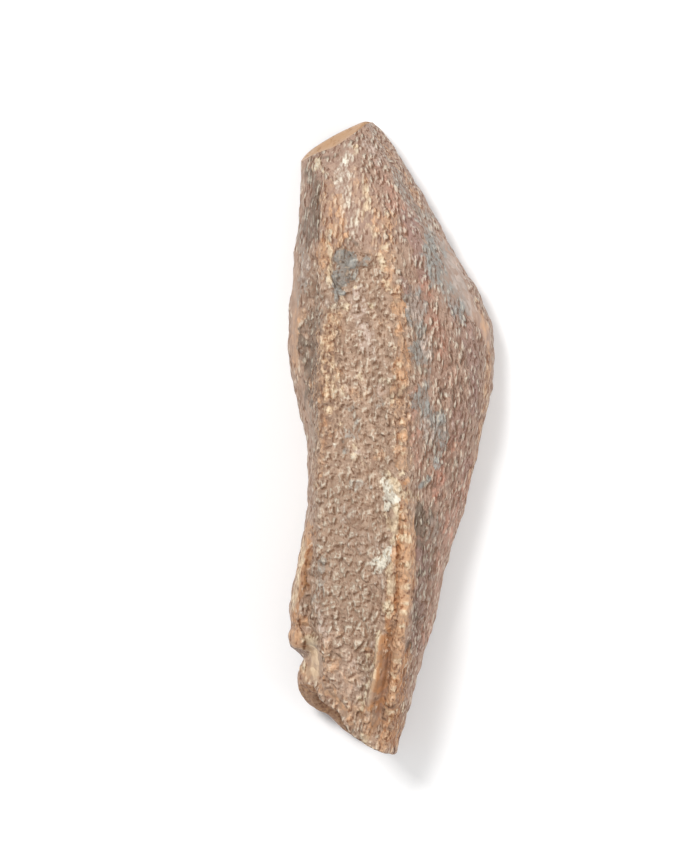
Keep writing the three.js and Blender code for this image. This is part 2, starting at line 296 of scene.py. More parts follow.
MARKS = {
    Mask.SLATE: (
        # Scaled-off patch, its arm and the wisps below it.
        Mark(1, ((21, -47, 0.4), (22.8, -43, 0.5), (24.3, -46, 0.5), (25.7, -50, 0.4), (27.2, -52, 0.3))),
        Mark(1, ((21.6, -38, 0.25), (22.8, -38, 0.2))),
        Mark(0.85, ((22.3, -34, 0.28), (22.2, -29, 0.22), (23.2, -26, 0.15))),
        *spots(0.5, (29, -60, 0.25), (29.5, -54, 0.2)),
        # Patches in the valley beside the keel.
        Mark(0.8, ((28, 23, 0.4), (29.8, 22, 0.55), (32, 24, 0.45))),
        Mark(0.6, ((29.5, 28, 0.35), (31.8, 29, 0.35))),
        Mark(0.85, ((34, 29, 0.3), (35.2, 29, 0.4), (36.3, 23, 0.4), (37.4, 28, 0.45), (37.6, 35, 0.35))),
        Mark(0.85, ((42.5, 31, 0.35), (43.7, 27, 0.45), (45.2, 31, 0.55), (46.4, 37, 0.5))),
        Mark(0.8, ((47.5, 42, 0.6), (49, 46, 0.6), (50.7, 47, 0.5), (52.3, 44, 0.4), (53.6, 44, 0.25))),
        Mark(0.6, ((46.3, 50, 0.2), (47.5, 51, 0.2))),
        Mark(0.5, ((35.5, 36, 0.25), (38, 36, 0.25), (40, 37, 0.2))),
        Mark(0.55, ((47.5, 33, 0.35), (50, 34, 0.35), (52, 36, 0.25))),
        Mark(1, ((56.6, 36, 0.12), (57.2, 31, 0.2), (57.9, 26, 0.12))),
        # Upper flank.
        Mark(0.45, ((8, 3, 0.25), (11, 11, 0.25), (14, 25, 0.3), (16.5, 36, 0.35), (19.5, 43, 0.4))),
        Mark(0.85, ((19, 37, 0.3), (21.5, 40, 0.4), (23.5, 40, 0.45), (25, 43, 0.3))),
        Mark(0.6, ((20, 48, 0.45), (23.5, 52, 0.7), (27, 60, 0.75), (30.5, 68, 0.5))),
        # Left side and face.
        Mark(0.5, ((17, -89, 0.3), (21, -86, 0.3), (24.5, -84, 0.3), (28, -90, 0.3))),
        Mark(0.4, ((45.5, -38, 0.3), (47.5, -33, 0.35), (49.5, -40, 0.3))),
        Mark(0.35, ((42, -16, 0.3), (44.5, -15, 0.35))),
        *spots(0.8, (52, -45, 0.2), (50.7, -47, 0.12)),
        Mark(0.35, ((57.5, -38, 0.3), (58, -25, 0.35))),
        Mark(0.5, ((62, 36, 0.3), (64, 42, 0.35), (66, 37, 0.3))),
        Mark(0.4, ((69, -69, 0.25), (73, -69, 0.35), (75.5, -74, 0.25))),
    ),
    Mask.RUST: (
        # Red-brown band that runs down the crown and the flank.
        Mark(0.55, ((7, -13, 0.25), (10, -8, 0.3), (12.5, 2, 0.35), (15, 13, 0.4), (18, 19, 0.35))),
        Mark(0.75, ((23.5, 27, 0.25), (27, 32, 0.3), (30, 37, 0.35), (33, 43, 0.4))),
        Mark(0.5, ((34.5, 48, 0.4), (37, 52, 0.4), (41, 54, 0.35))),
        Mark(0.6, ((42, 23, 0.2), (47, 21, 0.25), (50, 23, 0.3), (54, 23, 0.3))),
        Mark(0.7, ((50.7, 57, 0.4), (53, 51, 0.4), (56, 47, 0.4), (59, 42, 0.35))),
        Mark(0.6, ((53, 76, 0.3), (57, 72, 0.4), (60, 64, 0.5), (63, 58, 0.45), (66, 55, 0.35))),
        Mark(0.4, ((44, 62, 0.4), (52, 70, 0.4))),
        Mark(0.45, ((67.5, 45, 0.35), (72, 43, 0.3), (77, 37, 0.3), (82, 31, 0.25))),
        *spots(0.7, (91, -63, 0.2), (91.5, -24, 0.15)),
        Mark(0.8, ((83, -5, 0.1), (87, -6.5, 0.18), (90, -9, 0.2), (94, -15, 0.18))),
    ),
    Mask.PLUM: (
        # Purple-grey of the flank.
        Mark(0.85, ((15, 14, 0.25), (16.5, 20, 0.35), (18.5, 24, 0.3), (21, 25, 0.2), (24.5, 30, 0.2))),
        Mark(0.7, ((24.5, 10, 0.15), (26.5, 12, 0.25), (29, 15, 0.15))),
        Mark(0.55, ((30, 62, 0.5), (33.5, 71, 0.55))),
        Mark(0.4, ((32, 86, 0.2), (35, 90, 0.25))),
        Mark(0.75, ((35.5, 77, 0.45), (38.5, 80, 0.45), (42, 80, 0.4), (46, 80, 0.35))),
        Mark(0.65, ((45.5, 66, 0.4), (48.5, 66, 0.45), (50, 62, 0.3))),
        Mark(0.5, ((53, 74, 0.3), (56, 68, 0.3))),
        Mark(0.8, ((67.5, 29, 0.35), (70, 31, 0.45), (72.5, 28, 0.35), (75, 24, 0.35), (78, 26, 0.4))),
        Mark(0.6, ((80.5, 22, 0.35), (83.5, 27, 0.3))),
    ),
    Mask.UMBER: (
        # Dark grain of the upper left and of the left valley.
        Mark(0.85, ((8, -80, 0.2), (10.5, -74, 0.3), (13, -75, 0.35), (16, -77, 0.5), (18.5, -76, 0.4))),
        Mark(0.5, ((26, -74, 0.3), (28.5, -73, 0.3))),
        Mark(0.7, ((31, -75, 0.4), (34, -74, 0.4))),
        Mark(0.8, ((33, -87, 0.2), (36, -86, 0.3), (39, -84, 0.25))),
        Mark(1, ((35.5, -75, 0.4), (39, -76, 0.5), (42, -77, 0.5), (44.5, -76, 0.4))),
        Mark(0.55, ((46.5, -76, 0.35), (49, -77, 0.25), (53, -74, 0.2))),
        Mark(0.25, ((58, -55, 1.2), (64, -45, 1.6), (70, -40, 1.8), (78, -45, 1.6))),
        # Rim below the worn facet.
        Mark(0.6, ((6.4, -80, 0.1), (5.8, -55, 0.1), (3.9, -40, 0.1), (2.6, -28, 0.08))),
        # Shadow on the scaled-off patch and under the brow, pock, blots.
        Mark(0.35, ((21.5, -46, 0.3), (24, -45, 0.35), (26.5, -51, 0.2))),
        Mark(0.8, ((19.7, -50, 0.15), (18.9, -41, 0.15), (19.8, -33, 0.12))),
        *spots(1, (33, 22, 0.18)),
        *spots(0.8, (43, 50, 0.15)),
        *spots(0.8, (39, 26, 0.25), (39.6, 33, 0.2), (28.5, 14.5, 0.15), (24.5, 9, 0.12)),
        Mark(0.5, ((13.5, 24, 0.2), (15, 27, 0.15))),
        # Lower flank, beside the bead rows.
        Mark(1, ((60.5, 27, 0.25), (62.5, 28, 0.35), (64.5, 25, 0.25))),
        *spots(0.8, (62, 35, 0.3), (65, 28, 0.25), (66.8, 27, 0.2), (71, 26, 0.25), (79, 23, 0.3),
                    (82.3, 15, 0.3)),
        Mark(0.3, ((62, 38, 0.5), (68, 36, 0.5), (74, 32, 0.5), (80, 26, 0.4))),
        Mark(0.8, ((74.7, 21, 0.2), (76.5, 23, 0.2), (78.3, 24, 0.25))),
        Mark(0.5, ((86, 13, 0.2), (88, 10, 0.2))),
        # Painted shade in the crevice inside the left lip, in the crater and in the crack.
        Mark(0.25, ((68.5, -77, 0.1), (71, -76, 0.12), (74, -74, 0.12))),
        Mark(0.3, ((66, 18, 0.15), (71, 18, 0.2), (77, 16, 0.2))),
        Mark(0.8, ((75.3, -80, 0.18), (77.3, -79, 0.2))),
        *spots(0.8, (82.7, -65, 0.12), (85, -68, 0.18), (84.4, -51, 0.12), (85.3, -58, 0.2)),
        # Painted shade in the groove beside the lamina, and darker spots in crevices at the root.
        Mark(0.6, ((84.5, -5, 0.08), (86.5, -6, 0.13), (89.5, -8.5, 0.15), (92.5, -12, 0.18),
                   (95, -17, 0.12))),
        *spots(0.6, (95.3, 3, 0.15), (97.3, -13, 0.2), (96.3, -37, 0.18), (95.5, -8, 0.12)),
    ),
    Mask.AMBER: (
        # Orange grain of the crown, the keel and the face's left side.
        Mark(0.3, ((9, -32, 0.5), (13, -36, 0.6), (17, -30, 0.6))),
        Mark(0.55, ((9.5, -60, 0.25), (12.5, -62, 0.4), (15.5, -60, 0.45), (18.5, -58, 0.45))),
        Mark(0.85, ((19, -66, 0.3), (21.5, -67, 0.4), (23.5, -62, 0.3), (25.5, -64, 0.15))),
        Mark(0.4, ((10.5, -25, 0.3), (13, -20, 0.4), (16, -14, 0.4), (18.5, -10, 0.4), (21, -12, 0.35))),
        Mark(0.55, ((15, -3, 0.3), (18.5, -1, 0.35), (21.5, -3, 0.35), (24, -3, 0.3), (26.5, -6, 0.35))),
        Mark(0.65, ((13, -52, 0.35), (17, -51, 0.4), (20, -48, 0.3))),
        Mark(0.9, ((27.7, 5, 0.25), (29.5, 7, 0.35), (32, 9, 0.35), (34.5, 9, 0.4), (37, 11, 0.4),
                   (40, 9, 0.4))),
        Mark(0.75, ((42, 7, 0.45), (46, 8, 0.45), (50, 9, 0.45), (54, 11, 0.4))),
        Mark(0.8, ((31.5, -56, 0.4), (34.5, -63, 0.5), (37.5, -64, 0.55), (41, -65, 0.6),
                   (44.5, -65, 0.6))),
        Mark(0.3, ((83, -55, 0.9), (88, -48, 1), (92, -38, 0.7), (95, -33, 0.4))),
        Mark(0.4, ((47.5, -64, 0.45), (51, -66, 0.4), (55, -70, 0.35), (58, -72, 0.3))),
        *spots(0.4, (43.3, -31, 0.4), (39.5, -52, 0.5), (32, -8, 0.5), (53, -12, 0.35)),
        # Left edge and right edge.
        Mark(0.5, ((30.5, -88, 0.3), (33, -92, 0.3), (36.5, -95, 0.25), (40, -90, 0.2))),
        Mark(0.55, ((28.5, 82, 0.15), (31, 88, 0.2), (34, 92, 0.2), (37, 95, 0.15))),
        Mark(0.7, ((38, 95, 0.15), (42, 94, 0.2), (46, 91, 0.2))),
        Mark(0.8, ((47.5, 89, 0.15), (50, 88, 0.2), (53, 85, 0.2), (57, 79, 0.2), (61, 72, 0.15))),
        Mark(0.5, ((2.5, -14, 0.12), (5, -3, 0.15), (8, 8, 0.15), (11, 20, 0.15), (14, 30, 0.12))),
        # Along the bead rows and the lamina.
        Mark(0.85, ((57, 12, 0.25), (60, 13, 0.35), (63, 12, 0.35), (66, 12, 0.4), (69, 9, 0.5),
                    (72, 7, 0.55))),
        Mark(0.95, ((75, 6, 0.55), (78, 5, 0.5), (81, 5, 0.45), (84, 5, 0.4), (87, 4, 0.35),
                    (89.5, 3, 0.35))),
        Mark(0.8, ((62, 19, 0.15), (65.5, 20, 0.2), (68, 20, 0.25), (71, 20, 0.25), (75, 18, 0.2),
                   (80, 13, 0.15))),
        Mark(0.85, ((90, 4, 0.4), (92.5, 0, 0.45), (95, -1, 0.5), (98, -4, 0.6))),
        Mark(0.9, ((68, 0, 0.2), (71, -1, 0.22), (74, -1, 0.22), (77, -3, 0.22), (80, -4, 0.2))),
        Mark(1, ((64, 13, 0.3), (68, 11, 0.35), (72, 9, 0.35), (76, 8, 0.35), (80, 8, 0.35), (84, 7, 0.3))),
        *spots(1, (84.5, -21, 0.3), (94, -28, 0.5), (96.5, -22, 0.5), (98, -12, 0.4)),
        *spots(0.8, (20.5, -58, 0.3), (22.5, -57, 0.25)),
        # Left lip, lobe and the break.
        Mark(1, ((64, -80, 0.15), (66, -82, 0.2), (69, -86, 0.3), (72, -90, 0.35), (75, -92, 0.4))),
        Mark(0.8, ((78, -91, 0.4), (81, -90, 0.4), (82.5, -90, 0.3))),
        Mark(0.7, ((88.7, -72, 0.25), (90.5, -62, 0.3), (92, -51, 0.3), (94, -42, 0.2))),
        Mark(0.75, ((82.5, -82, 0.3), (85.5, -83, 0.45), (88, -84, 0.4))),
        Mark(0.5, ((91, -24, 0.15), (93.5, -27, 0.15), (95.5, -30, 0.12))),
    ),
    Mask.OCHRE: (
        # Smooth orange lamina, lip, and the chains between the bead rows.
        Mark(1, ((80.5, -10, 0.07), (83, -10, 0.1), (85.5, -10.5, 0.15), (88, -12.5, 0.21),
                 (90.5, -15.5, 0.24))),
        Mark(1, ((91.5, -17.5, 0.22), (93, -20.5, 0.15))),
        Mark(0.6, ((92, -17, 0.1), (95, -19, 0.1), (97.5, -20, 0.1))),
        Mark(0.6, ((80.5, -5, 0.1), (83.5, -5, 0.15), (87, -7, 0.2), (90, -9, 0.25), (93, -12, 0.25),
                   (96, -17, 0.15))),
        Mark(0.9, ((84, 13, 0.3), (88, 9, 0.35), (92, 6, 0.35), (96, 3, 0.4))),
        Mark(0.9, ((61, 8, 0.12), (65, 7, 0.12), (68, 6, 0.14), (71, 5, 0.14), (74, 5, 0.14),
                   (77, 3, 0.14))),
        Mark(0.8, ((75.5, -3, 0.1), (78.5, -5, 0.12), (80, -4, 0.15), (82, -2, 0.15))),
        Mark(0.4, ((60, 19, 0.1), (65, 17, 0.12), (71, 16, 0.12), (77, 13, 0.1))),
        Mark(0.75, ((66, -80, 0.12), (70, -83, 0.16), (74, -86, 0.2), (78, -94, 0.15))),
        *spots(0.9, (45.2, 15, 0.12), (57.5, 11, 0.18), (10, 18, 0.12), (11.5, 24, 0.1), (91.3, 2, 0.15)),
        *spots(0.5, (20, -57, 0.2), (88.3, -87, 0.12), (81.5, -84, 0.12), (97, 3, 0.2)),
    ),
    Mask.ASH: (
        # Pale pinkish grey.
        Mark(0.7, ((2.8, -27, 0.2), (4.5, -17, 0.4), (6, -10, 0.35))),
        Mark(0.5, ((7, 3, 0.25), (8.5, 8, 0.2), (10.5, 16, 0.2))),
        Mark(0.4, ((17, 40, 0.3), (20, 50, 0.25))),
        Mark(0.5, ((22, 58, 0.3), (25, 66, 0.4), (28, 74, 0.4), (30, 82, 0.3))),
        Mark(0.7, ((22.5, -83, 0.2), (25, -84, 0.3))),
        Mark(0.5, ((27.5, -32, 0.4), (31, -30, 0.5), (33.5, -27, 0.5), (36.5, -20, 0.4), (38.5, -15, 0.4))),
        *spots(0.5, (29, -62, 0.3), (42, -12, 0.35), (53, -33, 0.4), (49, 56, 0.35)),
        Mark(0.8, ((28.7, 23, 0.3), (31, 25, 0.35))),
        Mark(0.6, ((34.5, 32, 0.25), (37, 33, 0.3))),
        Mark(0.5, ((47.5, 33, 0.3), (49.5, 34, 0.3), (48.5, 50, 0.25))),
        Mark(0.4, ((65, 42, 0.35), (69, 36, 0.3))),
        Mark(0.35, ((62, -40, 0.6), (65.5, -35, 0.6), (67, -14, 0.35), (72.5, -12, 0.35))),
        Mark(0.5, ((77, -70, 0.3), (80, -66, 0.4), (82, -58, 0.45), (84, -42, 0.45), (86.5, -40, 0.5))),
        Mark(0.5, ((87.5, -54, 0.4), (89, -50, 0.5), (89.5, -33, 0.45), (91.5, -36, 0.35))),
        Mark(0.5, ((83, -19, 0.25), (86, -22, 0.25), (89, -27, 0.25))),
        *spots(0.4, (87, 17, 0.2), (35.5, -97, 0.2)),
        # Grains that stand out on the lower flank.
        *spots(0.8, (63.5, 41, 0.22), (66, 34, 0.18), (68, 41, 0.18), (69.5, 33, 0.22), (72, 38, 0.18)),
        *spots(0.8, (73.5, 30, 0.22), (75.5, 35, 0.18), (78.5, 29, 0.18), (81.5, 25, 0.18), (84, 20, 0.22)),
    ),
    Mask.CREAM: (
        # Pale grains of the crown.
        *spots(0.6, (7, -72, 0.3), (8.3, -66, 0.2), (4.7, -35, 0.2)),
        Mark(0.5, ((10.5, -27, 0.15), (13, -23, 0.2), (15, -26, 0.2), (17, -22, 0.2), (18.3, -14, 0.25))),
        *spots(0.5, (14.7, -6, 0.15), (17, -6, 0.15), (16, -36, 0.4), (18.5, -62, 0.25), (13, -62, 0.2)),
        *spots(1, (20, -6, 0.22), (29.5, -20, 0.18)),
        Mark(0.5, ((21.5, -13, 0.15), (22.7, -8, 0.2), (24.7, -9, 0.2), (26.5, -3, 0.2))),
        Mark(0.8, ((20.5, -60, 0.15), (22, -58, 0.15), (24, -59, 0.2), (26, -61, 0.12))),
        # Pale grains of the face and the keel.
        Mark(0.35, ((30, -56, 0.5), (35, -60, 0.6), (40, -60, 0.6), (45, -60, 0.4))),
        *spots(0.7, (26.5, -35, 0.12), (28.7, 4, 0.15), (29.6, -45, 0.2), (28.3, -48, 0.15),
                    (31.5, -57, 0.15)),
        *spots(0.7, (36, 3, 0.15), (38.6, 8, 0.2), (42.5, 11, 0.15), (44, -1, 0.12), (40, -18, 0.2)),
        *spots(0.7, (43.3, -47, 0.12), (42.5, -55, 0.12), (40.5, -30, 0.2), (41.3, 1, 0.2)),
        *spots(0.9, (43.3, 8, 0.28), (45.5, -66, 0.15)),
        *spots(0.8, (47.6, 9, 0.12), (48.6, 11, 0.12), (51, 9, 0.2), (52.5, 11, 0.15), (55.7, 9, 0.15)),
        *spots(0.8, (53.5, -33, 0.35), (41.5, -3, 0.3), (43.5, -2, 0.25)),
        *spots(0.6, (51.5, -36, 0.2), (51.5, 2, 0.15), (57.5, -73, 0.15), (48, -49, 0.12)),
        Mark(0.8, ((56.5, -5, 0.3), (57.5, 4, 0.3), (59, 10, 0.25), (59.3, 17, 0.25), (58.8, 23, 0.2))),
        # Bead rows: pale beads, with painted highlight on their tops.
        Mark(0.85, ((61, 3, 0.18), (62, 4, 0.22), (64, 3, 0.24), (66, 1.5, 0.2))),
        Mark(0.85, ((69, -0.5, 0.18), (71, -1, 0.2), (73, 0, 0.2), (74.5, -1, 0.18))),
        Mark(1, ((75.7, -2.5, 0.15), (76.6, -2.5, 0.22), (77.7, -3, 0.18))),
        *spots(0.6, (57.5, -3, 0.5), (69.5, -4, 0.3), (93, 10, 0.35), (86, -24, 0.25)),
        Mark(0.5, ((60.5, -4, 0.2), (62.5, -6, 0.25), (64, -4, 0.2))),
        *spots(0.75, (61.5, 12, 0.18), (64, 13, 0.2), (66, 12, 0.22), (70, 12, 0.25), (73.5, 12, 0.2),
                     (76, 10, 0.15)),
        *spots(0.6, (77.3, 9, 0.15), (89.3, 1, 0.18), (92.7, 5, 0.15)),
        *spots(0.8, (92.7, -4, 0.3), (84.3, -23, 0.2)),
        *spots(0.75, (79.5, 8, 0.15), (82, 7, 0.15), (85, 5, 0.18), (87.3, 1, 0.15), (93, -6, 0.12),
                     (94.4, -2, 0.15)),
        # Painted highlight along the lit left side of the lamina, broken into beads.
        Mark(0.6, ((80.5, -11, 0.08), (83, -12, 0.1), (86, -13.5, 0.11), (89, -17, 0.12),
                   (92, -21.5, 0.1))),
        Mark(1, ((80.3, -13.5, 0.07), (82.5, -13.5, 0.08), (84.5, -15, 0.08), (86, -17.5, 0.08))),
        Mark(0.95, ((87, -19, 0.1), (88.7, -22, 0.1), (90.5, -25, 0.09), (92, -27.5, 0.09),
                    (93.5, -30, 0.09))),
        *spots(0.8, (94.5, -31, 0.15), (88.9, -26, 0.15), (91.2, -31, 0.15), (86.7, -22, 0.1)),
        # Left lip, lobe, smooth corner, chip at the root.
        Mark(0.75, ((66, -84, 0.12), (70, -88, 0.15), (74, -93, 0.18), (77, -96, 0.15))),
        *spots(0.9, (82, -78, 0.3), (82.5, -73, 0.15), (97.5, -23, 0.3), (96.6, -27, 0.25)),
        Mark(0.5, ((83.5, -81, 0.35), (86.5, -82, 0.45), (88, -79, 0.3))),
    ),
    Mask.CHALK: (
        # Weathered streaks of the crown and two white patches.
        Mark(0.45, ((5.5, -43, 0.25), (7.5, -46, 0.35), (9.5, -47, 0.45))),
        Mark(0.35, ((9, -48, 0.35), (12, -44, 0.35), (15, -38, 0.35), (18, -33, 0.35))),
        Mark(0.45, ((8, -44, 0.12), (10.5, -42, 0.18), (12.5, -41, 0.15), (14.5, -38, 0.15),
                    (16, -35, 0.25), (18.3, -31, 0.2))),
        *spots(0.5, (2.8, -23, 0.15), (6.5, -1, 0.12), (9, -38, 0.2), (4.2, -42, 0.15)),
        Mark(1, ((57, -7, 0.2), (58.7, -3, 0.4), (59.5, 3, 0.3), (60.5, -3, 0.2), (61.5, -4, 0.1))),
        Mark(1, ((68.5, -3, 0.35), (69, -8, 0.4), (70, -14, 0.33), (71, -16, 0.15))),
        # The first spot here, on the flank beside the pock, is a painted glint.
        *spots(0.9, (43.4, 54.5, 0.18), (67.2, -68, 0.1), (51.2, -55, 0.08)),
        *spots(0.7, (83.7, -66, 0.1), (84.4, -60, 0.1), (82.5, -51, 0.1), (80.2, -52, 0.08),
                    (86.3, -27, 0.1)),
    ),
    Mask.SMOOTH: (
        # Left edge, lip and lobe.
        Mark(0.85, ((21, -93, 0.15), (26, -94, 0.2), (30, -93, 0.25), (34, -95, 0.3), (38, -94, 0.25))),
        Mark(0.7, ((41, -89, 0.2), (46, -80, 0.25), (51, -77, 0.25))),
        Mark(0.45, ((64.5, -80, 0.15), (69, -85, 0.3), (73, -89, 0.4), (77, -91, 0.45))),
        Mark(0.6, ((81, -90, 0.45),)),
        # Flaked corner, right margin, lamina, groove, chip, right edge.
        Mark(1, ((82.5, -77, 0.3), (85.5, -78, 0.45), (88, -78, 0.35))),
        Mark(0.9, ((19, 52, 0.3), (24, 60, 0.6), (27, 67, 0.65), (29.5, 76, 0.5), (32, 87, 0.35),
                   (35, 94, 0.25))),
        Mark(1, ((81, -9, 0.1), (85, -11, 0.16), (88, -14, 0.22), (91, -18, 0.22), (93, -21, 0.15))),
        Mark(0.6, ((88.7, -70, 0.25), (90.5, -60, 0.3), (92, -50, 0.3), (94, -42, 0.2))),
        Mark(0.9, ((84, -5, 0.12), (88, -9, 0.25), (91, -12, 0.3), (94, -15, 0.28), (97, -18, 0.15))),
        *spots(0.9, (97.3, -24, 0.35)),
        Mark(0.45, ((61, 64, 0.2), (66, 56, 0.25), (72, 48, 0.25), (78, 40, 0.25), (84, 31, 0.25),
                    (92, 16, 0.2))),
        # The crown and the foot of the face, a little.
        Mark(0.55, ((6, -45, 1.2), (12, -38, 1.6), (17, -32, 1.6))),
        Mark(0.45, ((14, 25, 0.7), (22, 42, 0.9), (28, 60, 0.9))),
        Mark(0.5, ((86, -50, 0.8), (90, -40, 0.8))),
    ),
    Mask.COARSE: (
        # Granules that stand out: left of the face, the flank and the keel.
        Mark(0.75, ((31, -54, 0.5), (36, -56, 0.8), (44, -56, 0.9), (52, -60, 0.6))),
        Mark(0.6, ((40, 10, 0.6), (50, 10, 0.6))),
        Mark(0.7, ((36, 60, 0.6), (42, 65, 1.1), (50, 55, 1.1), (58, 45, 1))),
        Mark(1, ((62, 32, 0.6), (68, 32, 0.7), (76, 28, 0.6), (84, 20, 0.5), (92, 5, 0.5), (97, -3, 0.5))),
        Mark(0.6, ((10, -76, 0.5), (20, -78, 0.5), (30, -76, 0.5), (42, -78, 0.4))),
    ),
}


# ---------------------------------------------------------------- the tooth's lines and forms


@dataclass(frozen=True)
class FeatureLine:
    """A line from tip to root that the skin runs through.

    Attributes:
        facets: Knot spacing to the next line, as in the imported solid.
        columns: Columns of vertices from this line to the next one.
        grain: How tall the granules stand on it, as a share.
        drawn: How far its granules are drawn out along the tooth, as a share.
        points: Rows of [along, across, up], in percentages.
    """

    facets: int
    columns: int
    grain: float
    drawn: float
    points: tuple[tuple[float, float, float], ...]


LEFT_ENAMEL_EDGE = FeatureLine(2, 10, 0.1, 0.5, (
    (5.0, -81.5, 9), (13, -85, 6), (26, -92, 3), (34, -97, 0), (38, -96, 0), (46, -86, 1),
    (54, -76, 4), (62, -77, 8), (70, -86, 12), (78, -93, 15), (82, -92, 16), (84.6, -83, 17),
    (92, -82, 19),
))
LEFT_WALL = FeatureLine(4, 16, 0.4, 0.6, (
    (6.2, -87, 24), (13, -88.5, 23), (18.8, -92.5, 22), (26.4, -96.5, 20), (30.3, -99, 19),
    (36, -100, 18), (39.8, -98, 20), (43.6, -92.5, 23), (47.5, -86.5, 27), (51.3, -81.5, 31),
    (60.8, -81, 35), (64.6, -84, 36), (70.4, -91, 37), (74.2, -96, 37), (78, -98, 37),
    (81.8, -97, 36), (83.5, -95, 35), (84.5, -87, 34), (85.7, -85.5, 33), (87.6, -90, 31),
    (90.2, -89, 29),
))
LEFT_RIM = FeatureLine(2, 13, 0.5, 0.5, (
    (6.1, -82.5, 38), (12, -82, 43), (20, -85, 45), (28, -90, 43), (36, -92, 40), (44, -84, 44),
    (52, -77, 58), (60, -77, 64), (64.6, -81, 64), (71, -87, 69), (77.4, -92, 69),
    (82.2, -91, 65), (84.4, -82, 59), (88.9, -86, 46),
))
LEFT_VALLEY = FeatureLine(3, 26, 0.8, 0.4, (
    (5.6, -77, 43), (12, -76, 54), (20, -77, 59), (28, -77, 55), (36, -79, 51), (44, -78, 58),
    (52, -75, 74), (60, -74, 81), (64.6, -75, 78), (71, -79.5, 73), (77.4, -83, 70),
    (82.2, -81, 67), (84.6, -77, 63), (89.4, -76.5, 54),
))
FACE_LEFT_EDGE = FeatureLine(5, 19, 1.0, 0.1, (
    (5.0, -68, 47), (12, -67, 65), (20, -66, 75), (30, -66, 84), (36, -69, 87), (44, -71, 90),
    (52, -70, 91), (60, -69, 91), (68, -70, 89), (76, -71, 85), (84, -70, 79), (91.2, -70, 63),
))
FACE_LEFT = FeatureLine(6, 22, 1.0, 0.0, (
    (4.5, -58, 50), (12, -49, 67), (20, -48, 77), (30, -46, 85), (44, -46, 91), (60, -46, 92),
    (76, -48, 88), (84, -52, 83), (93, -54, 71),
))
FACE_RIGHT = FeatureLine(5, 22, 1.0, 0.0, (
    (2.9, -42, 50), (12, -30, 68), (20, -25, 78), (30, -19, 86), (44, -16, 93), (60, -17, 94),
    (76, -21, 90), (84, -26, 85), (97, -37, 75),
))
KEEL = FeatureLine(4, 21, 1.0, 0.3, (
    (1.1, -28, 46), (10.5, -18, 65), (17, -5, 75), (22, 0, 81), (28, 7, 88), (34.4, 11, 93),
    (44, 12, 98), (52, 12, 100), (60, 11, 100), (68, 9, 98), (76, 7, 95), (84, 3, 90),
    (92, 0, 83), (99.5, -10, 74),
))
FLANK_VALLEY = FeatureLine(4, 17, 0.7, 0.6, (
    (0.6, -24, 40), (7, -5, 54), (13.7, 9, 64), (20, 17, 71), (28, 23, 76), (35, 29, 79),
    (42, 32, 82), (50, 30, 84), (58, 26, 84), (66, 25, 82), (76, 22, 79), (84, 14, 75),
    (92, 8, 70), (99.8, -2, 62),
))
FLANK_RIDGE = FeatureLine(5, 28, 0.9, 0.9, (
    (0.5, -22, 33), (8, 2, 48), (14.5, 18, 58), (21, 31, 66), (27.5, 43, 72), (35, 51, 76),
    (43.5, 54, 77), (52, 49, 75), (60, 43, 72), (68, 36, 69), (76, 29, 65), (84, 20, 61),
    (92, 12, 57), (100, 0, 52),
))
RIGHT_SHOULDER = FeatureLine(5, 24, 0.8, 1.0, (
    (0.4, -20.5, 25), (8, 10, 35), (14.5, 30, 41), (21, 49, 46), (27.5, 70, 49), (35, 83, 52),
    (43.5, 83, 53), (52, 72, 53), (60, 61, 52), (68, 49, 50), (76, 39, 48), (84, 27, 46),
    (92, 15, 44), (100, 3, 40),
))
RIGHT_WALL = FeatureLine(3, 10, 0.35, 1.0, (
    (0.2, -18, 15), (1.6, -8.5, 17), (3.5, 0.5, 18), (7.3, 15, 19), (15, 42.5, 20),
    (18.8, 54, 20), (22.6, 68, 20), (28.3, 88, 19), (32.2, 97, 18), (36, 100, 18),
    (41.7, 98, 19), (45.5, 93, 20), (53.2, 83, 22), (60.8, 71.5, 24), (64.6, 64, 25),
    (70.4, 53, 26), (76.1, 46, 27), (87.6, 26, 28), (99.9, 5, 27),
))
RIGHT_ENAMEL_EDGE = FeatureLine(5, 8, 0.08, 1.0, (
    (0.1, -20, 7), (7.5, 12, 6), (15, 39, 5), (22.6, 64, 3), (29, 86, 1), (34, 96, 0),
    (40, 95, 0), (46, 89, 1), (54, 78, 4), (62, 65, 7), (70, 49, 11), (80, 36, 14),
    (90, 19, 17), (99.7, 3, 19),
))
ENAMEL_RIGHT_HOLLOW = FeatureLine(4, 8, 0.0, 1.0, (
    (0, -26, 6), (12, 5, 8), (20, 23, 9), (30, 44, 9.5), (38, 47, 9), (46, 42, 9),
    (56, 34, 9), (66, 23, 10), (76, 13, 13), (88, 2, 16), (99.4, -6, 17),
))
CARINA_RIGHT = FeatureLine(2, 3, 0.0, 1.0, (
    (0.35, -32, 4), (12, -21, -0.4), (30, -3, -1), (46, 2, -1), (60, -1, -1), (70, -7, -0.6),
    (78, -13, 2), (88, -17, 10), (98.4, -21, 15),
))
CARINA_LEFT = FeatureLine(4, 8, 0.0, 1.0, (
    (1.0, -41, 4), (12, -33, -0.4), (30, -15, -1), (46, -10, -1), (60, -13, -1),
    (70, -19, -0.6), (78, -25, 2), (88, -31, 9), (97.1, -39.5, 14),
))
ENAMEL_LEFT_HOLLOW = FeatureLine(4, 5, 0.0, 1.0, (
    (2.7, -61, 7), (12, -59, 8), (20, -57, 9), (30, -57, 9.5), (38, -56, 9), (46, -49, 9),
    (56, -45, 9), (66, -50, 11), (76, -57, 13), (86, -60, 15), (93.9, -62, 17),
))
FEATURE_LINES = (
    LEFT_ENAMEL_EDGE, LEFT_WALL, LEFT_RIM, LEFT_VALLEY, FACE_LEFT_EDGE, FACE_LEFT, FACE_RIGHT,
    KEEL, FLANK_VALLEY, FLANK_RIDGE, RIGHT_SHOULDER, RIGHT_WALL, RIGHT_ENAMEL_EDGE,
    ENAMEL_RIGHT_HOLLOW, CARINA_RIGHT, CARINA_LEFT, ENAMEL_LEFT_HOLLOW,
)


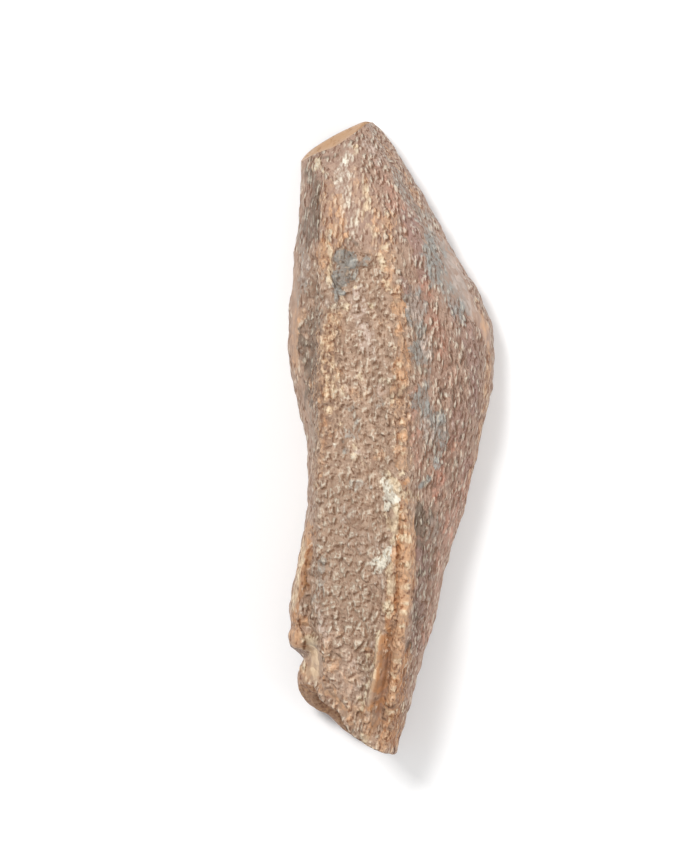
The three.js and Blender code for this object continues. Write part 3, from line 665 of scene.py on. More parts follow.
@dataclass(frozen=True)
class Pit:
    """A smooth round dent, or a bump where its height is above 0.

    Attributes:
        at: Its middle as (along, across), in percentages.
        size: Its half sizes along and across the tooth, in millimetres.
        height: Its rise, in millimetres.
    """

    at: Place
    size: tuple[float, float]
    height: float


@dataclass(frozen=True)
class Seam:
    """A bell-shaped ridge along a path, or a groove where its height is below 0.

    Attributes:
        path: Its points as (along, across), in percentages.
        width: Its half width, in millimetres.
        height: Its rise, in millimetres.
        beads: Length of each bead that it is broken into, in millimetres, or 0 for none.
    """

    path: tuple[Place, ...]
    width: float
    height: float
    beads: float = 0.0


PITS = (
    Pit((23.5, -46), (1.4, 0.85), -0.4),  # scaled-off patch
    Pit((22.2, -28), (0.5, 0.7), -0.3),  # its arm
    Pit((43.3, 51), (0.4, 0.35), -0.4),  # pock on the flank
    Pit((85, -58), (0.5, 0.7), -0.3),  # crater by the root
    Pit((86, -77), (1.4, 0.7), -0.35),  # flaked corner
    Pit((81.5, -90), (0.7, 0.6), 0.3),  # swelling of the lobe
)
SEAMS = (
    Seam(((20.3, -54), (19.2, -44), (19.3, -35), (20.4, -26)), 0.3, 0.22),  # brow
    Seam(((80, -9.5), (84, -10.5), (88, -15), (92, -20.5), (95, -24.5), (98, -26)), 0.3, 0.55),  # lamina
    Seam(((79, -3.5), (84, -4), (88, -6.5), (91, -10), (94, -14), (98, -18.5)), 0.36, -0.6),  # its groove
    Seam(((60, 8), (66, 7), (72, 5.5), (77, 3), (83, -0.5)), 0.22, -0.26),  # split in the keel
    Seam(
        ((60, 12.5), (68, 12.5), (74, 12), (78, 9), (83, 5.5), (88, 2), (94, -1)), 0.32, 0.24
    ),  # second row of the keel
    Seam(((80.2, -97), (79.6, -88), (80.3, -79), (82.3, -69)), 0.26, -0.3),  # crack above the lobe
    Seam(((88.2, -76), (90.2, -64), (92, -53), (94.5, -42)), 0.3, -0.22),  # step along the break
)
FINE_SEAMS = (
    Seam(((64, -77), (68, -79), (71, -82), (75, -81), (79, -82)), 0.16, -0.3),
    Seam(((44, 12), (53, 12), (57, 6), (62, 3), (67, 1.5), (73, -0.5), (79, -3)), 0.25, 0.21, 0.95),
    Seam(((57, 12.5), (68, 12.5), (74, 12), (78, 9), (83, 5.5), (88, 2)), 0.28, 0.19, 1.05),
    Seam(((28, 2), (33, 7), (39, 9), (45, 11)), 0.24, 0.16, 0.7),
    Seam(((81, -11), (86, -12.5), (90, -17.5), (94, -23)), 0.14, 0.12, 0.4),
)


class Ends:
    """How each end of the tooth is closed: rings that lead from its rim to its middle."""

    FACET_RINGS = 10
    FACET_DISH = 0.3
    FACET_EASE = (0.05, 0.6)
    ROOT_RINGS = 18
    HOLLOW_DEPTH = 3.2
    HOLLOW_EASE = (0.2, 0.7)
    # Rings crowd towards the rim by this power of their share of the way.
    CROWDING = 1.1
    # Crackle of the broken wall: its height and the size of its noise, in millimetres, and its start.
    CRACKLE, CRACKLE_SIZE, CRACKLE_EASE = 0.14, 0.7, (0.0, 0.12)

    @classmethod
    def facet_profile(cls, share: Array) -> Array:
        """The chewing facet is dished: it falls by an eased ramp inside its rim."""
        return -cls.FACET_DISH * smoothstep(share, *cls.FACET_EASE)

    @classmethod
    def hollow_profile(cls, share: Array) -> Array:
        """The pulp hollow rises into the root by an eased ramp inside the broken wall."""
        return cls.HOLLOW_DEPTH * smoothstep(share, *cls.HOLLOW_EASE)


@dataclass
class ToothSkin:
    """The tooth's surface as a grid of points, and what is known at each of them.

    Attributes:
        size: The box's width, length and depth, in millimetres.
        rings: Rings of vertices from the chewing facet to the root.
        lump_size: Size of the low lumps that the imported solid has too, in millimetres.
        lump_height: Their height, in millimetres.
        granule: Size of a granule of the face, in millimetres.
        granule_height: Its height, in millimetres.
        drawn_out: How much longer a granule of the flank is along the tooth.
        masks: What is laid on each point, by the name of its vertex attribute.
    """

    size: Array
    rings: int = 352
    lump_size: float = 1.25
    lump_height: float = 0.16
    granule: float = 0.56
    granule_height: float = 0.15
    drawn_out: float = 1.5
    masks: dict[str, Array] = field(default_factory=dict)

    # Ramps as (low, high). The first two are of the upward part of the outward direction.
    UPPER = (-0.1, 0.25)
    SIDES = (-0.45, -0.05)
    OFF_FACET = (0, 0.05)  # share of the rings behind the facet
    CROWN = (14, 27)  # percent of the length in which the tip's granules give way to the face's
    LONG = (0.3, 0.7)  # drawn-out share at which long granules take over
    COBBLED = (55, 66)  # percent of the length in which the face grows more cobbled
    SEAM_START, SEAM_END = (0, 0.12), (0.9, 1)  # shares of a seam's length
    PIT_EDGE = (0.55, 1.25)  # of a pit's half size
    MARK_EDGE = (0.5, 1.5)  # of a mark's half width
    # Square of a length below which a leg of a path counts as a spot.
    NO_LENGTH = 1e-9
    # Beads: the size, octaves and strength of the noise that sets them unevenly, and their bluntness.
    BEAD_NOISE, BEAD_OCTAVES, BEAD_SHIFT, BEAD_BLUNT = 1.3, 2, 3.5, 0.6
    # Bead masks: reach of a row, its soft edge and reach of a bead's body, in half widths of the seam.
    ROW_REACH, ROW_EDGE, BEAD_REACH, BEAD_EDGE = 1.9, 0.5, 1.5, (0.15, 0.5)
    # Lumps: their reach in cells.
    LUMP_REACH = 0.75
    # Edges of marks: size and octaves of the noise they wander with, its strength, a granule's own share.
    WANDER_SIZE, WANDER_OCTAVES, WANDER, OWN_SHARE = 1.1, 4, 1.8, 0.6
    # Pull of a wide mark towards whole granules: at most, over which half widths, and what it widens by.
    PULL, PULL_WIDTHS, PULL_GAIN = 0.8, (0.12, 0.3), 0.3
    # Granules: size and strength of the noise that bends them, and the width of the drawn-out ones.
    WARP_SIZE, WARP, LONG_WIDTH = 0.7, 0.45, 0.75
    # A dome's height at its crevice and what it gains inside it, over a border in cells.
    DOME_FOOT, DOME_RISE, DOME_BORDER = 0.55, 0.45, (0.0, 0.3)
    # Heights of lumps and domes that are left in the sheet itself.
    LUMP_MIDDLE, DOME_MIDDLE = 0.4, 0.55
    # Grain that is left by the facet and gained behind it; what smooth marks, beads and the tip take away.
    FACET_GRAIN, FACET_GAIN, POLISH, BEAD_POLISH, TIP_POLISH = 0.25, 0.75, 0.85, 0.55, 0.45
    # What a coarse mark adds to the grain and to the crevices, how soon crevices show, and gaps of beads.
    COARSE_GRAIN, COARSE_CREVICE, CREVICE, BEAD_GAP = 0.5, 0.3, 1.3, 0.6
    # Share of cobbles on the upper face, and what the lower face adds.
    COBBLES, LOWER_COBBLES = 0.6, 0.2

    def place(self, along: Array, across: Array, up: Array) -> Array:
        """Turns percentages of the length, of half the width and of the depth into millimetres."""
        width, length, depth = self.size
        parts = (across / 100 * width / 2, (0.5 - along / 100) * length, up / 100 * depth)
        return np.stack(np.broadcast_arrays(*parts), -1)

    def path(self, places: tuple[Place, ...]) -> Array:
        """A path's points on the ground plane, in millimetres."""
        table = np.asarray(places, float)
        return self.place(table[:, 0], table[:, 1], np.zeros(len(table)))[:, :2]

    def knots(self, u: Array) -> Array:
        """Each feature line's own point for each share of the way from tip to root.

        A line's place along the tooth goes evenly from its first row to its last one, so the
        rings lean with the facet at one end and with the break at the other.

        Args:
            u: Shares from 0 to 1.

        Returns:
            Points, by ring and line.
        """
        found = []
        for line in FEATURE_LINES:
            along = line.points[0][0] + u * (line.points[-1][0] - line.points[0][0])
            across, up = curve_through(line.points, along).T
            found.append(self.place(along, across, up))
        return np.stack(found, 1)

    def smooth_sheet(self) -> Array:
        """The skin before any small form: a closed cubic through the knots of each ring.

        A knot's slope is the mean of the two chords beside it, each weighted by the other's
        spacing, and the spacing is the number of facets between lines.

        Returns:
            Points, by ring and column.
        """
        knots = self.knots(np.linspace(0, 1, self.rings))
        after = np.array([line.facets for line in FEATURE_LINES], float)
        before = np.roll(after, 1)
        ahead = np.roll(knots, -1, axis=1) - knots
        back = knots - np.roll(knots, 1, axis=1)
        ratio = (before / after)[:, None]
        slopes = (ahead * ratio + back / ratio) / (before + after)[:, None]
        spans = []
        for k, line in enumerate(FEATURE_LINES):
            t = (np.arange(line.columns) / line.columns)[:, None]
            n = (k + 1) % len(FEATURE_LINES)
            a, b = knots[:, k, None], knots[:, n, None]
            spans.append(hermite(a, slopes[:, k, None], b, slopes[:, n, None], t, line.facets))
        return np.concatenate(spans, axis=1)

    def by_line(self, values: list[float]) -> Array:
        """Spreads one value for each feature line over the columns, evenly between lines."""
        spans = []
        for k, line in enumerate(FEATURE_LINES):
            t = np.arange(line.columns) / line.columns
            spans.append(values[k] + t * (values[(k + 1) % len(values)] - values[k]))
        return np.concatenate(spans)[None, :]

    @staticmethod
    def outward(sheet: Array) -> Array:
        """Outward direction at each point: the step to the root crossed with the step round."""
        rows = np.concatenate([sheet[:1], sheet, sheet[-1:]])
        along = rows[2:] - rows[:-2]
        across = np.roll(sheet, -1, axis=1) - np.roll(sheet, 1, axis=1)
        normal = np.cross(along, across)
        return normal / np.linalg.norm(normal, axis=-1, keepdims=True)

    def legs(self, points: Array, places: tuple) -> Iterator[tuple[int, Array, Array]]:
        """Measures every point of the skin against each leg of a path seen from above.

        Args:
            points: Points of the skin.
            places: The path's points, in percentages. A single one is a leg with no length.

        Yields:
            The leg's number, how far along it the nearest place is from 0 to 1, and the
            distance to that place in millimetres.
        """
        corners = self.path(places)
        for i in range(max(1, len(corners) - 1)):
            leg = corners[min(i + 1, len(corners) - 1)] - corners[i]
            offset = points[..., :2] - corners[i]
            share = np.clip(offset @ leg / max(leg @ leg, self.NO_LENGTH), 0, 1)
            yield i, share, np.linalg.norm(offset - share[..., None] * leg, axis=-1)

    def along_path(self, points: Array, places: tuple[Place, ...]) -> tuple[Array, Array]:
        """Distance to a path of two places or more, in millimetres, and the share of it there."""
        nearest, share = np.full(points.shape[:-1], np.inf), np.zeros(points.shape[:-1])
        for i, t, distance in self.legs(points, places):
            closer = distance < nearest
            nearest = np.where(closer, distance, nearest)
            share = np.where(closer, (i + t) / (len(places) - 1), share)
        return nearest, share

    def fade_at_ends(self, share: Array) -> Array:
        """1 along a seam, easing to 0 at its two ends."""
        return smoothstep(share, *self.SEAM_START) * (1 - smoothstep(share, *self.SEAM_END))

    def relief(self, points: Array, seams: tuple[Seam, ...]) -> Array:
        """Rise of ridges and grooves: a bell across each, fading at its two ends.

        A beaded seam also rises and falls along its length, as the root of a sine.

        Args:
            points: Points of the skin.
            seams: The ridges and grooves.

        Returns:
            The rise at each point, in millimetres.
        """
        rise = np.zeros(points.shape[:-1])
        for seam in seams:
            distance, share = self.along_path(points, seam.path)
            bell = np.exp(-((distance / seam.width) ** 2))
            if seam.beads:
                bell = bell * self.bead_profile(points, seam.beads)
            rise += seam.height * self.fade_at_ends(share) * bell
        return rise

    def bead_profile(self, points: Array, length: float) -> Array:
        """Share of a ridge's height along a row of beads: |sin| of the place, bent by a noise."""
        wobble = cloud(points, self.BEAD_NOISE, Salt.BEADS, self.BEAD_OCTAVES) * self.BEAD_SHIFT
        return np.abs(np.sin(np.pi * (points[..., 1] / length + wobble))) ** self.BEAD_BLUNT

    def bead_rows(self, points: Array) -> tuple[Array, Array]:
        """Where the rows of beads are, for the masks.

        Args:
            points: Points of the skin.

        Returns:
            How much of each point is a bead, and how much is a gap round one.
        """
        bead, gap = np.zeros((2, *points.shape[:-1]))
        for seam in (seam for seam in FINE_SEAMS if seam.beads):
            width = seam.width
            distance, share = self.along_path(points, seam.path)
            near = smoothstep(width * self.ROW_REACH - distance, 0, width * self.ROW_EDGE)
            near = near * self.fade_at_ends(share)
            crown = self.bead_profile(points, seam.beads) * (1 - distance / (self.BEAD_REACH * width))
            body = smoothstep(crown, *self.BEAD_EDGE) * near
            bead = np.maximum(bead, body)
            gap = np.maximum(gap, near - body)
        return bead, gap * (1 - bead)

    def dents(self, points: Array) -> Array:
        """Rise of the pits: flat inside half their size, easing out to nothing beyond it."""
        rise = np.zeros(points.shape[:-1])
        for pit in PITS:
            (x, y), = self.path((pit.at,))
            reach = np.hypot((points[..., 1] - y) / pit.size[0], (points[..., 0] - x) / pit.size[1])
            rise += pit.height * (1 - smoothstep(reach, *self.PIT_EDGE))
        return rise

    def lumps(self, points: Array) -> Array:
        """Low lumps, 1 at a seed and falling evenly to 0 at their reach."""
        cells = Cells.around(points, (self.lump_size,) * 3, Salt.LUMPS)
        return np.maximum(0, 1 - cells.nearest / self.LUMP_REACH)

    def reach(self, points: Array, mark: Mark) -> Array:
        """Distance from a mark's path as a share of its half width, the least over its legs."""
        widths = [row[2] for row in mark.rows]
        least = np.full(points.shape[:-1], np.inf)
        for i, t, distance in self.legs(points, mark.rows):
            further = widths[min(i + 1, len(widths) - 1)]
            least = np.minimum(least, distance / (widths[i] + t * (further - widths[i])))
        return least

    def lay_marks(self, points: Array, centres: Array, shade: Array, upper: Array) -> None:
        """Works out each mask, with none of it on the underside.

        A wide mark takes whole granules: it is read nearer to a granule's centre than to the
        point itself, so its edge runs in the crevices. Every edge wanders with a noise.

        Args:
            points: Points of the skin.
            centres: Centre of each point's granule.
            shade: Random value that a whole granule shares.
            upper: Share of each point that faces up.
        """
        noise = cloud(points, self.WANDER_SIZE, Salt.WANDER, self.WANDER_OCTAVES)
        wander = (noise - 0.5) * self.WANDER + (shade - 0.5) * self.OWN_SHARE
        for mask, marks in MARKS.items():
            total = np.zeros(points.shape[:-1])
            for mark in marks:
                width = max(row[2] for row in mark.rows)
                whole = 0.0 if mask is Mask.SMOOTH else self.PULL * smoothstep(width, *self.PULL_WIDTHS)
                reach = self.reach(points + whole * (centres - points), mark)
                reach = reach + wander - self.PULL_GAIN * whole
                total = np.maximum(total, mark.strength * (1 - smoothstep(reach, *self.MARK_EDGE)))
            self.masks[mask.value] = total * upper

    def towards_tip(self, points: Array) -> Array:
        """1 near the tip, easing to 0 where the granules of the face begin."""
        return 1 - smoothstep(self.percent_along(points), *self.CROWN)

    def long_share(self, points: Array) -> Array:
        """Share of the drawn-out granules: all of them on the flank and near the tip."""
        drawn = self.by_line([line.drawn for line in FEATURE_LINES])
        return smoothstep(np.maximum(drawn, self.towards_tip(points)), *self.LONG)

    def granules(self, points: Array) -> tuple[Array, Array, Array]:
        """Granules of the pebbled dentine: flat-topped domes with narrow crevices between.

        Each is round on the face and drawn out along the tooth on the flank.

        Args:
            points: Points of the skin.

        Returns:
            Height of the domes from 0 to 1, a random value for each granule, and its centre.
        """
        noises = [cloud(points, self.WARP_SIZE, Salt.WARP + axis) for axis in range(3)]
        bent = points + (np.stack(noises, -1) - 0.5) * self.WARP
        side, narrow = self.granule, self.granule * self.LONG_WIDTH
        round_ones = Cells.around(bent, (side, side, side), Salt.ROUND_GRANULES)
        long_ones = Cells.around(bent, (narrow, side * self.drawn_out, narrow), Salt.LONG_GRANULES)
        long_share = self.long_share(points)

        def dome(cells: Cells) -> Array:
            """Round dome with a narrow crevice round it."""
            crown = 1 - np.minimum(cells.nearest, 1) ** 2
            return crown * (self.DOME_FOOT + self.DOME_RISE * smoothstep(cells.border, *self.DOME_BORDER))

        domes = dome(round_ones) + long_share * (dome(long_ones) - dome(round_ones))
        is_long = long_share > 0.5
        shade = np.where(is_long, long_ones.shade, round_ones.shade)
        seed = np.where(is_long[..., None], long_ones.seed, round_ones.seed)
        return domes, shade, seed + points - bent

    def percent_along(self, points: Array) -> Array:
        """How far each point is from the tip, in percent of the length."""
        return (0.5 - points[..., 1] / self.size[1]) * 100

    def skin(self) -> Array:
        """The finished sheet, with every small form on it and nothing below the ground.

        Returns:
            Points, by ring and column.
        """
        sheet = self.smooth_sheet()
        normal = self.outward(sheet)
        upper = smoothstep(normal[..., 2], *self.UPPER)
        sides = smoothstep(normal[..., 2], *self.SIDES)
        off_facet = smoothstep(np.linspace(0, 1, self.rings)[:, None], *self.OFF_FACET)
        domes, shade, centres = self.granules(sheet)
        self.lay_marks(sheet, centres, shade, upper)
        bead, gap = self.bead_rows(sheet)
        coarse = self.masks.pop(Mask.COARSE.value)
        smooth = np.maximum(self.masks[Mask.SMOOTH.value], self.BEAD_POLISH * bead)
        self.masks[Mask.SMOOTH.value] = smooth
        grain = self.by_line([line.grain for line in FEATURE_LINES])
        grain = grain * (self.FACET_GRAIN + self.FACET_GAIN * off_facet)
        grain = grain * (1 - self.POLISH * smooth) * (1 + self.COARSE_GRAIN * coarse)
        grain = grain * (1 - self.TIP_POLISH * self.towards_tip(sheet))
        lumps = self.lump_height * (self.lumps(sheet) - self.LUMP_MIDDLE) * sides * off_facet
        forms = upper * (self.dents(sheet) + self.relief(sheet, SEAMS + FINE_SEAMS))
        fine = self.granule_height * grain * (domes - self.DOME_MIDDLE)
        moved = sheet + normal * (lumps + forms + fine)[..., None]
        moved[..., 2] = np.maximum(moved[..., 2], 0)
        # Darkening between granules and round the beads: dirt in part, painted shade in part.
        crevice = (1 - domes) * np.minimum(1, grain * self.CREVICE) * (1 + self.COARSE_CREVICE * coarse)
        on_face = [float(line in (FACE_LEFT_EDGE, FACE_LEFT, FACE_RIGHT)) for line in FEATURE_LINES]
        lower = smoothstep(self.percent_along(sheet), *self.COBBLED)
        self.masks["crevice"] = np.minimum(1, np.maximum(crevice, self.BEAD_GAP * gap))
        self.masks["shade"] = 0.5 + (shade - 0.5) * (1 + coarse)
        self.masks["depth"] = np.zeros_like(domes)
        self.masks["drawn"] = self.long_share(sheet)
        self.masks["cobbles"] = self.by_line(on_face) * (self.COBBLES + self.LOWER_COBBLES * lower)
        return moved

    @staticmethod
    def closing(rim: Array, shares: Array, rise: Array) -> Array:
        """Rings from a rim towards its middle, each moved along Y by the end's profile.

        Args:
            rim: The sheet's last ring.
            shares: How far each ring lies towards the middle, from 0 to 1.
            rise: How far each ring, or each point of it, is moved towards the tip.

        Returns:
            Points, by ring and column.
        """
        middle = rim.mean(0)
        rings = rim[None] + shares[:, None, None] * (middle - rim)[None]
        rings[..., 1] += rise
        return rings

    def whole(self) -> tuple[Array, int, int]:
        """The skin between its two ends.

        Returns:
            Points by ring and column with the facet first and the root last, then how many
            rings belong to the facet and to the root.
        """
        skin = self.skin()
        facet_shares = (np.arange(Ends.FACET_RINGS, 0, -1) / Ends.FACET_RINGS) ** Ends.CROWDING
        root_shares = (np.arange(1, Ends.ROOT_RINGS + 1) / Ends.ROOT_RINGS) ** Ends.CROWDING
        facet = self.closing(skin[0], facet_shares, Ends.facet_profile(facet_shares)[:, None])
        root = self.closing(skin[-1], root_shares, Ends.hollow_profile(root_shares)[:, None])
        crackle = cloud(root, Ends.CRACKLE_SIZE, Salt.CRACKLE) - 0.5
        crackle = crackle * smoothstep(root_shares, *Ends.CRACKLE_EASE)[:, None]
        root[..., 1] += Ends.CRACKLE * 2 * crackle * (1 - root_shares[:, None])
        for name, on_skin in self.masks.items():
            tip_value = np.repeat(on_skin[:1], len(facet), 0)
            root_value = np.repeat(on_skin[-1:], len(root), 0)
            if name == "depth":
                tip_value = tip_value + facet_shares[:, None]
                root_value = root_value + root_shares[:, None]
            self.masks[name] = np.concatenate([tip_value, on_skin, root_value])
        return np.concatenate([facet, skin, root]), len(facet), len(root)


# ---------------------------------------------------------------- shader nodes


class Wiring:
    """Adds nodes to a node tree and joins them."""

    def __init__(self, tree: bpy.types.NodeTree) -> None:
        """Keeps the tree that the nodes go into."""
        self.tree = tree

    def join(self, source: object, socket: bpy.types.NodeSocket) -> None:
        """Links a socket to an input, or sets the input to a plain value."""
        if isinstance(source, bpy.types.NodeSocket):
            self.tree.links.new(source, socket)
        else:
            socket.default_value = source

    def add(self, kind: str, inputs: dict | None = None, **settings: object) -> bpy.types.Node:
        """Adds a node.

        Args:
            kind: The node's type, without the leading ShaderNode.
            inputs: What each input, by name or number, is linked to or set to.
            **settings: The node's own properties.

        Returns:
            The node.
        """
        node = self.tree.nodes.new("ShaderNode" + kind)
        for name, value in settings.items():
            setattr(node, name, value)
        for key, value in (inputs or {}).items():
            self.join(value, node.inputs[key])
        return node

    def maths(self, operation: str, *values: object) -> bpy.types.NodeSocket:
        """A sum, product or other operation on plain numbers."""
        return self.add("Math", dict(enumerate(values)), operation=operation).outputs[0]

    def times(self, first: object, second: object) -> bpy.types.NodeSocket:
        """Multiplies two numbers."""
        return self.maths("MULTIPLY", first, second)

    def times_plus(self, first: object, second: object, third: object) -> bpy.types.NodeSocket:
        """Multiplies two numbers and adds a third."""
        return self.maths("MULTIPLY_ADD", first, second, third)

    def vector(self, operation: str, first: object, second: object) -> bpy.types.NodeSocket:
        """Adds a vector maths node and returns its result."""
        return self.add("VectorMath", {0: first, 1: second}, operation=operation).outputs[0]

    def scaled(self, vector: object, factor: object) -> bpy.types.NodeSocket:
        """Multiplies a vector or a colour by one factor."""
        return self.add("VectorMath", {0: vector, "Scale": factor}, operation="SCALE").outputs[0]

    def ramp(self, value: object, low: float, high: float) -> bpy.types.NodeSocket:
        """An eased ramp from 0 at low to 1 at high."""
        inputs = {"Value": value, "From Min": low, "From Max": high}
        return self.add("MapRange", inputs, interpolation_type="SMOOTHSTEP").outputs[0]

    def mixed(
        self, share: object, first: object, second: object, way: str = "MIX"
    ) -> bpy.types.NodeSocket:
        """A colour that goes from the first to the second as the share goes from 0 to 1."""
        node = self.add("Mix", {0: share, 6: first, 7: second}, data_type="RGBA", blend_type=way)
        return node.outputs[2]

    def blend(self, share: object, first: object, second: object) -> bpy.types.NodeSocket:
        """A number that goes from the first to the second as the share goes from 0 to 1."""
        return self.add("Mix", {0: share, 2: first, 3: second}, data_type="FLOAT").outputs[0]

    def mask(self, name: str) -> bpy.types.NodeSocket:
        """A vertex attribute's value."""
        return self.add("Attribute", attribute_name=name).outputs["Fac"]

    def group(self, tree: bpy.types.NodeTree, inputs: dict) -> bpy.types.Node:
        """Places a node group, with its named inputs linked or set."""
        node = self.tree.nodes.new("ShaderNodeGroup")
        node.node_tree = tree
        for key, value in inputs.items():
            self.join(value, node.inputs[key])
        return node


class EffectGroups:
    """The effects that the finishes share, each a node group that is built once."""

    # Step towards the key light to where a grain is compared, in millimetres, for painted light and shade.
    LEE = (-0.1, 0.1, 0.0)
    # How far noise bends round and drawn-out grains, and how much denser and longer the latter are.
    ROUND_BEND, LONG_BEND, LONG_DENSITY, LONG_DRAW = 0.8, 0.7, 1.4, 0.38
    # Span over which a grain's top eases down, its least height and what chance adds to it.
    TOP_SPAN, LEAST_HEIGHT, CHANCE_HEIGHT = (0.05, 0.7), 0.5, 0.5
    # Cobbles: density beside the grains', soft edge and height.
    COBBLE_DENSITY, COBBLE_EDGE, COBBLE_HEIGHT = 0.66, (0.0, 0.28), 0.6
    # Roughness over the grains: density beside theirs and height. How much noise tells in their shade.
    ROUGH_DENSITY, ROUGH_HEIGHT, SHADE_NOISE = 2.1, 1.1, 0.8
    # Falls and heights that make painted light on a side facing the key light and on a top, and painted
    # shade on a far side, and how much painted light the first two give.
    SWEPT, TOP, LEE_FALL, SWEPT_LIGHT, TOP_LIGHT = (0.05, -0.3), (0.15, 0.8), (0.04, 0.4), 0.45, 0.55
    # Stains: pull of the breakup, ramp of the hold, least amount, and brightness from the breakup (painted
    # light).
    STAIN_BREAKUP, STAIN_HOLD, STAIN_LIMIT, STAIN_LIGHT = 1.4, (0.6, 1.8), (0.0, 0.3), (0.7, 0.6)
    # How low a place is before dirt and painted shade darken it.
    DIRT_LOW = (0.1, 0.95)

    def __init__(self) -> None:
        """Builds every group."""
        self.grains = self._grains()
        self.fine_grain = self._fine_grain()
        self.stain = self._stain()
        self.crevice_dirt = self._crevice_dirt()

    @staticmethod
    def _new(name: str, inputs: dict[str, str], outputs: dict[str, str]) -> tuple:
        """Makes an empty group.

        Args:
            name: The group's name.
            inputs: Each input's name and socket kind, such as Float or Color.
            outputs: Each output's name and socket kind.

        Returns:
            Its wiring, its input node's sockets and its output node's sockets.
        """
        tree = bpy.data.node_groups.new(name, "ShaderNodeTree")
        for in_out, sockets in (("INPUT", inputs), ("OUTPUT", outputs)):
            for socket, kind in sockets.items():
                tree.interface.new_socket(socket, in_out=in_out, socket_type="NodeSocket" + kind)
        given, made = tree.nodes.new("NodeGroupInput"), tree.nodes.new("NodeGroupOutput")
        return Wiring(tree), given.outputs, made.inputs

    def _grains(self) -> bpy.types.NodeTree:
        """Height of closely packed grains of uneven size, or of larger cobbles.

        A grain's span is its distance from the grain's middle, bent by a noise, and its top
        eases down from the middle. A cobble is flat to near its edge.
        """
        wiring, given, made = self._new(
            "grains",
            {"Where": "Vector", "Density": "Float", "Draw": "Float", "Bend": "Float", "Cobbles": "Float"},
            {"Height": "Float", "Shade": "Float"},
        )
        density = given["Density"]
        stretch = wiring.add("CombineXYZ", {0: 1.0, 1: given["Draw"], 2: 1.0}).outputs[0]
        drawn = wiring.vector("MULTIPLY", given["Where"], stretch)
        cloudy = wiring.add("TexNoise", {"Vector": drawn, "Scale": density, "Detail": 2.0})
        centred = wiring.vector("SUBTRACT", cloudy.outputs["Color"], (0.5, 0.5, 0.5))
        reach = wiring.maths("DIVIDE", given["Bend"], density)
        bent = wiring.vector("ADD", drawn, wiring.scaled(centred, reach))
        big = wiring.add("TexVoronoi", {"Vector": bent, "Scale": density})
        random = wiring.add("SeparateColor", {0: big.outputs["Color"]}).outputs
        uneven = wiring.maths("SUBTRACT", cloudy.outputs["Fac"], 0.5)
        span = wiring.times_plus(uneven, 1.0, big.outputs["Distance"])
        top = wiring.maths("SUBTRACT", 1.0, wiring.ramp(span, *self.TOP_SPAN))
        size = wiring.times_plus(random[1], self.CHANCE_HEIGHT, self.LEAST_HEIGHT)
        wide_scale = wiring.times(density, self.COBBLE_DENSITY)
        wide = wiring.add("TexVoronoi", {"Vector": bent, "Scale": wide_scale}, feature="DISTANCE_TO_EDGE")
        to_edge = wiring.ramp(wide.outputs["Distance"], *self.COBBLE_EDGE)
        cobble = wiring.times(to_edge, self.COBBLE_HEIGHT)
        raised = wiring.blend(given["Cobbles"], wiring.times(top, size), cobble)
        small_scale = wiring.times(density, self.ROUGH_DENSITY)
        small = wiring.add("TexNoise", {"Vector": drawn, "Scale": small_scale, "Detail": 1.0})
        rough = wiring.times(wiring.maths("SUBTRACT", small.outputs["Fac"], 0.5), self.ROUGH_HEIGHT)
        wiring.join(wiring.maths("ADD", raised, rough), made["Height"])
        wiring.join(wiring.times_plus(uneven, self.SHADE_NOISE, random[2]), made["Shade"])
        return wiring.tree

    def _fine_grain(self) -> bpy.types.NodeTree:
        """Grains finer than the mesh, round or drawn out, with painted light and painted shade on them.

        Each height is read again a step towards the tip and to the left, towards the key light. Where it
        is higher there, the place faces away from the light and gets painted shade; where it is lower, the
        place faces the light and gets a painted highlight, and the tops get one too.
        """
        wiring, given, made = self._new(
            "fine grain",
            {"Density": "Float", "Draw": "Float", "Long": "Float", "Cobbles": "Float"},
            {"Height": "Float", "Lit": "Float", "Shade": "Float", "Crevice": "Float"},
        )
        density = given["Density"]
        here = wiring.add("TexCoord").outputs["Object"]
        upwind = wiring.vector("ADD", here, tuple(MM * part for part in self.LEE))
        found = []
        for where in (here, upwind):
            round_ones = wiring.group(self.grains, {
                "Where": where, "Density": density, "Draw": given["Draw"],
                "Bend": self.ROUND_BEND, "Cobbles": given["Cobbles"],
            })
            long_ones = wiring.group(self.grains, {
                "Where": where, "Density": wiring.times(density, self.LONG_DENSITY),
                "Draw": self.LONG_DRAW, "Bend": self.LONG_BEND, "Cobbles": 0.0,
            })
            found.append([
                wiring.blend(given["Long"], round_ones.outputs[name], long_ones.outputs[name])
                for name in ("Height", "Shade")
            ])
        (height, shade), (height_upwind, _) = found
        # Painted light where the height falls towards the key light, painted shade where it rises.
        fall = wiring.maths("SUBTRACT", height_upwind, height)
        swept = wiring.ramp(fall, *self.SWEPT)
        on_top = wiring.times(wiring.ramp(height, *self.TOP), self.TOP_LIGHT)
        wiring.join(height, made["Height"])
        # Painted highlight on the sides that face the key light and on the tops.
        wiring.join(wiring.times_plus(swept, self.SWEPT_LIGHT, on_top), made["Lit"])
        wiring.join(shade, made["Shade"])
        # This output is the painted shade on the grains' far sides from the key light.
        wiring.join(wiring.ramp(fall, *self.LEE_FALL), made["Crevice"])
        return wiring.tree

    def _stain(self) -> bpy.types.NodeTree:
        """A pigment that takes hold granule by granule as its amount rises."""
        wiring, given, made = self._new(
            "stain",
            {"Colour": "Color", "Pigment": "Color", "Amount": "Float", "Breakup": "Float"},
            {"Colour": "Color"},
        )
        uneven = wiring.times_plus(given["Breakup"], self.STAIN_BREAKUP, given["Amount"])
        share = wiring.ramp(uneven, *self.STAIN_HOLD)
        limit = wiring.ramp(given["Amount"], *self.STAIN_LIMIT)
        hold = wiring.times(share, limit)
        # The pigment is made paler or darker with the tone, so it carries the painted light and shade.
        brightness = wiring.times_plus(given["Breakup"], *self.STAIN_LIGHT)
        shaded = wiring.scaled(given["Pigment"], brightness)
        colour = wiring.mixed(hold, given["Colour"], shaded)
        wiring.join(colour, made["Colour"])
        return wiring.tree

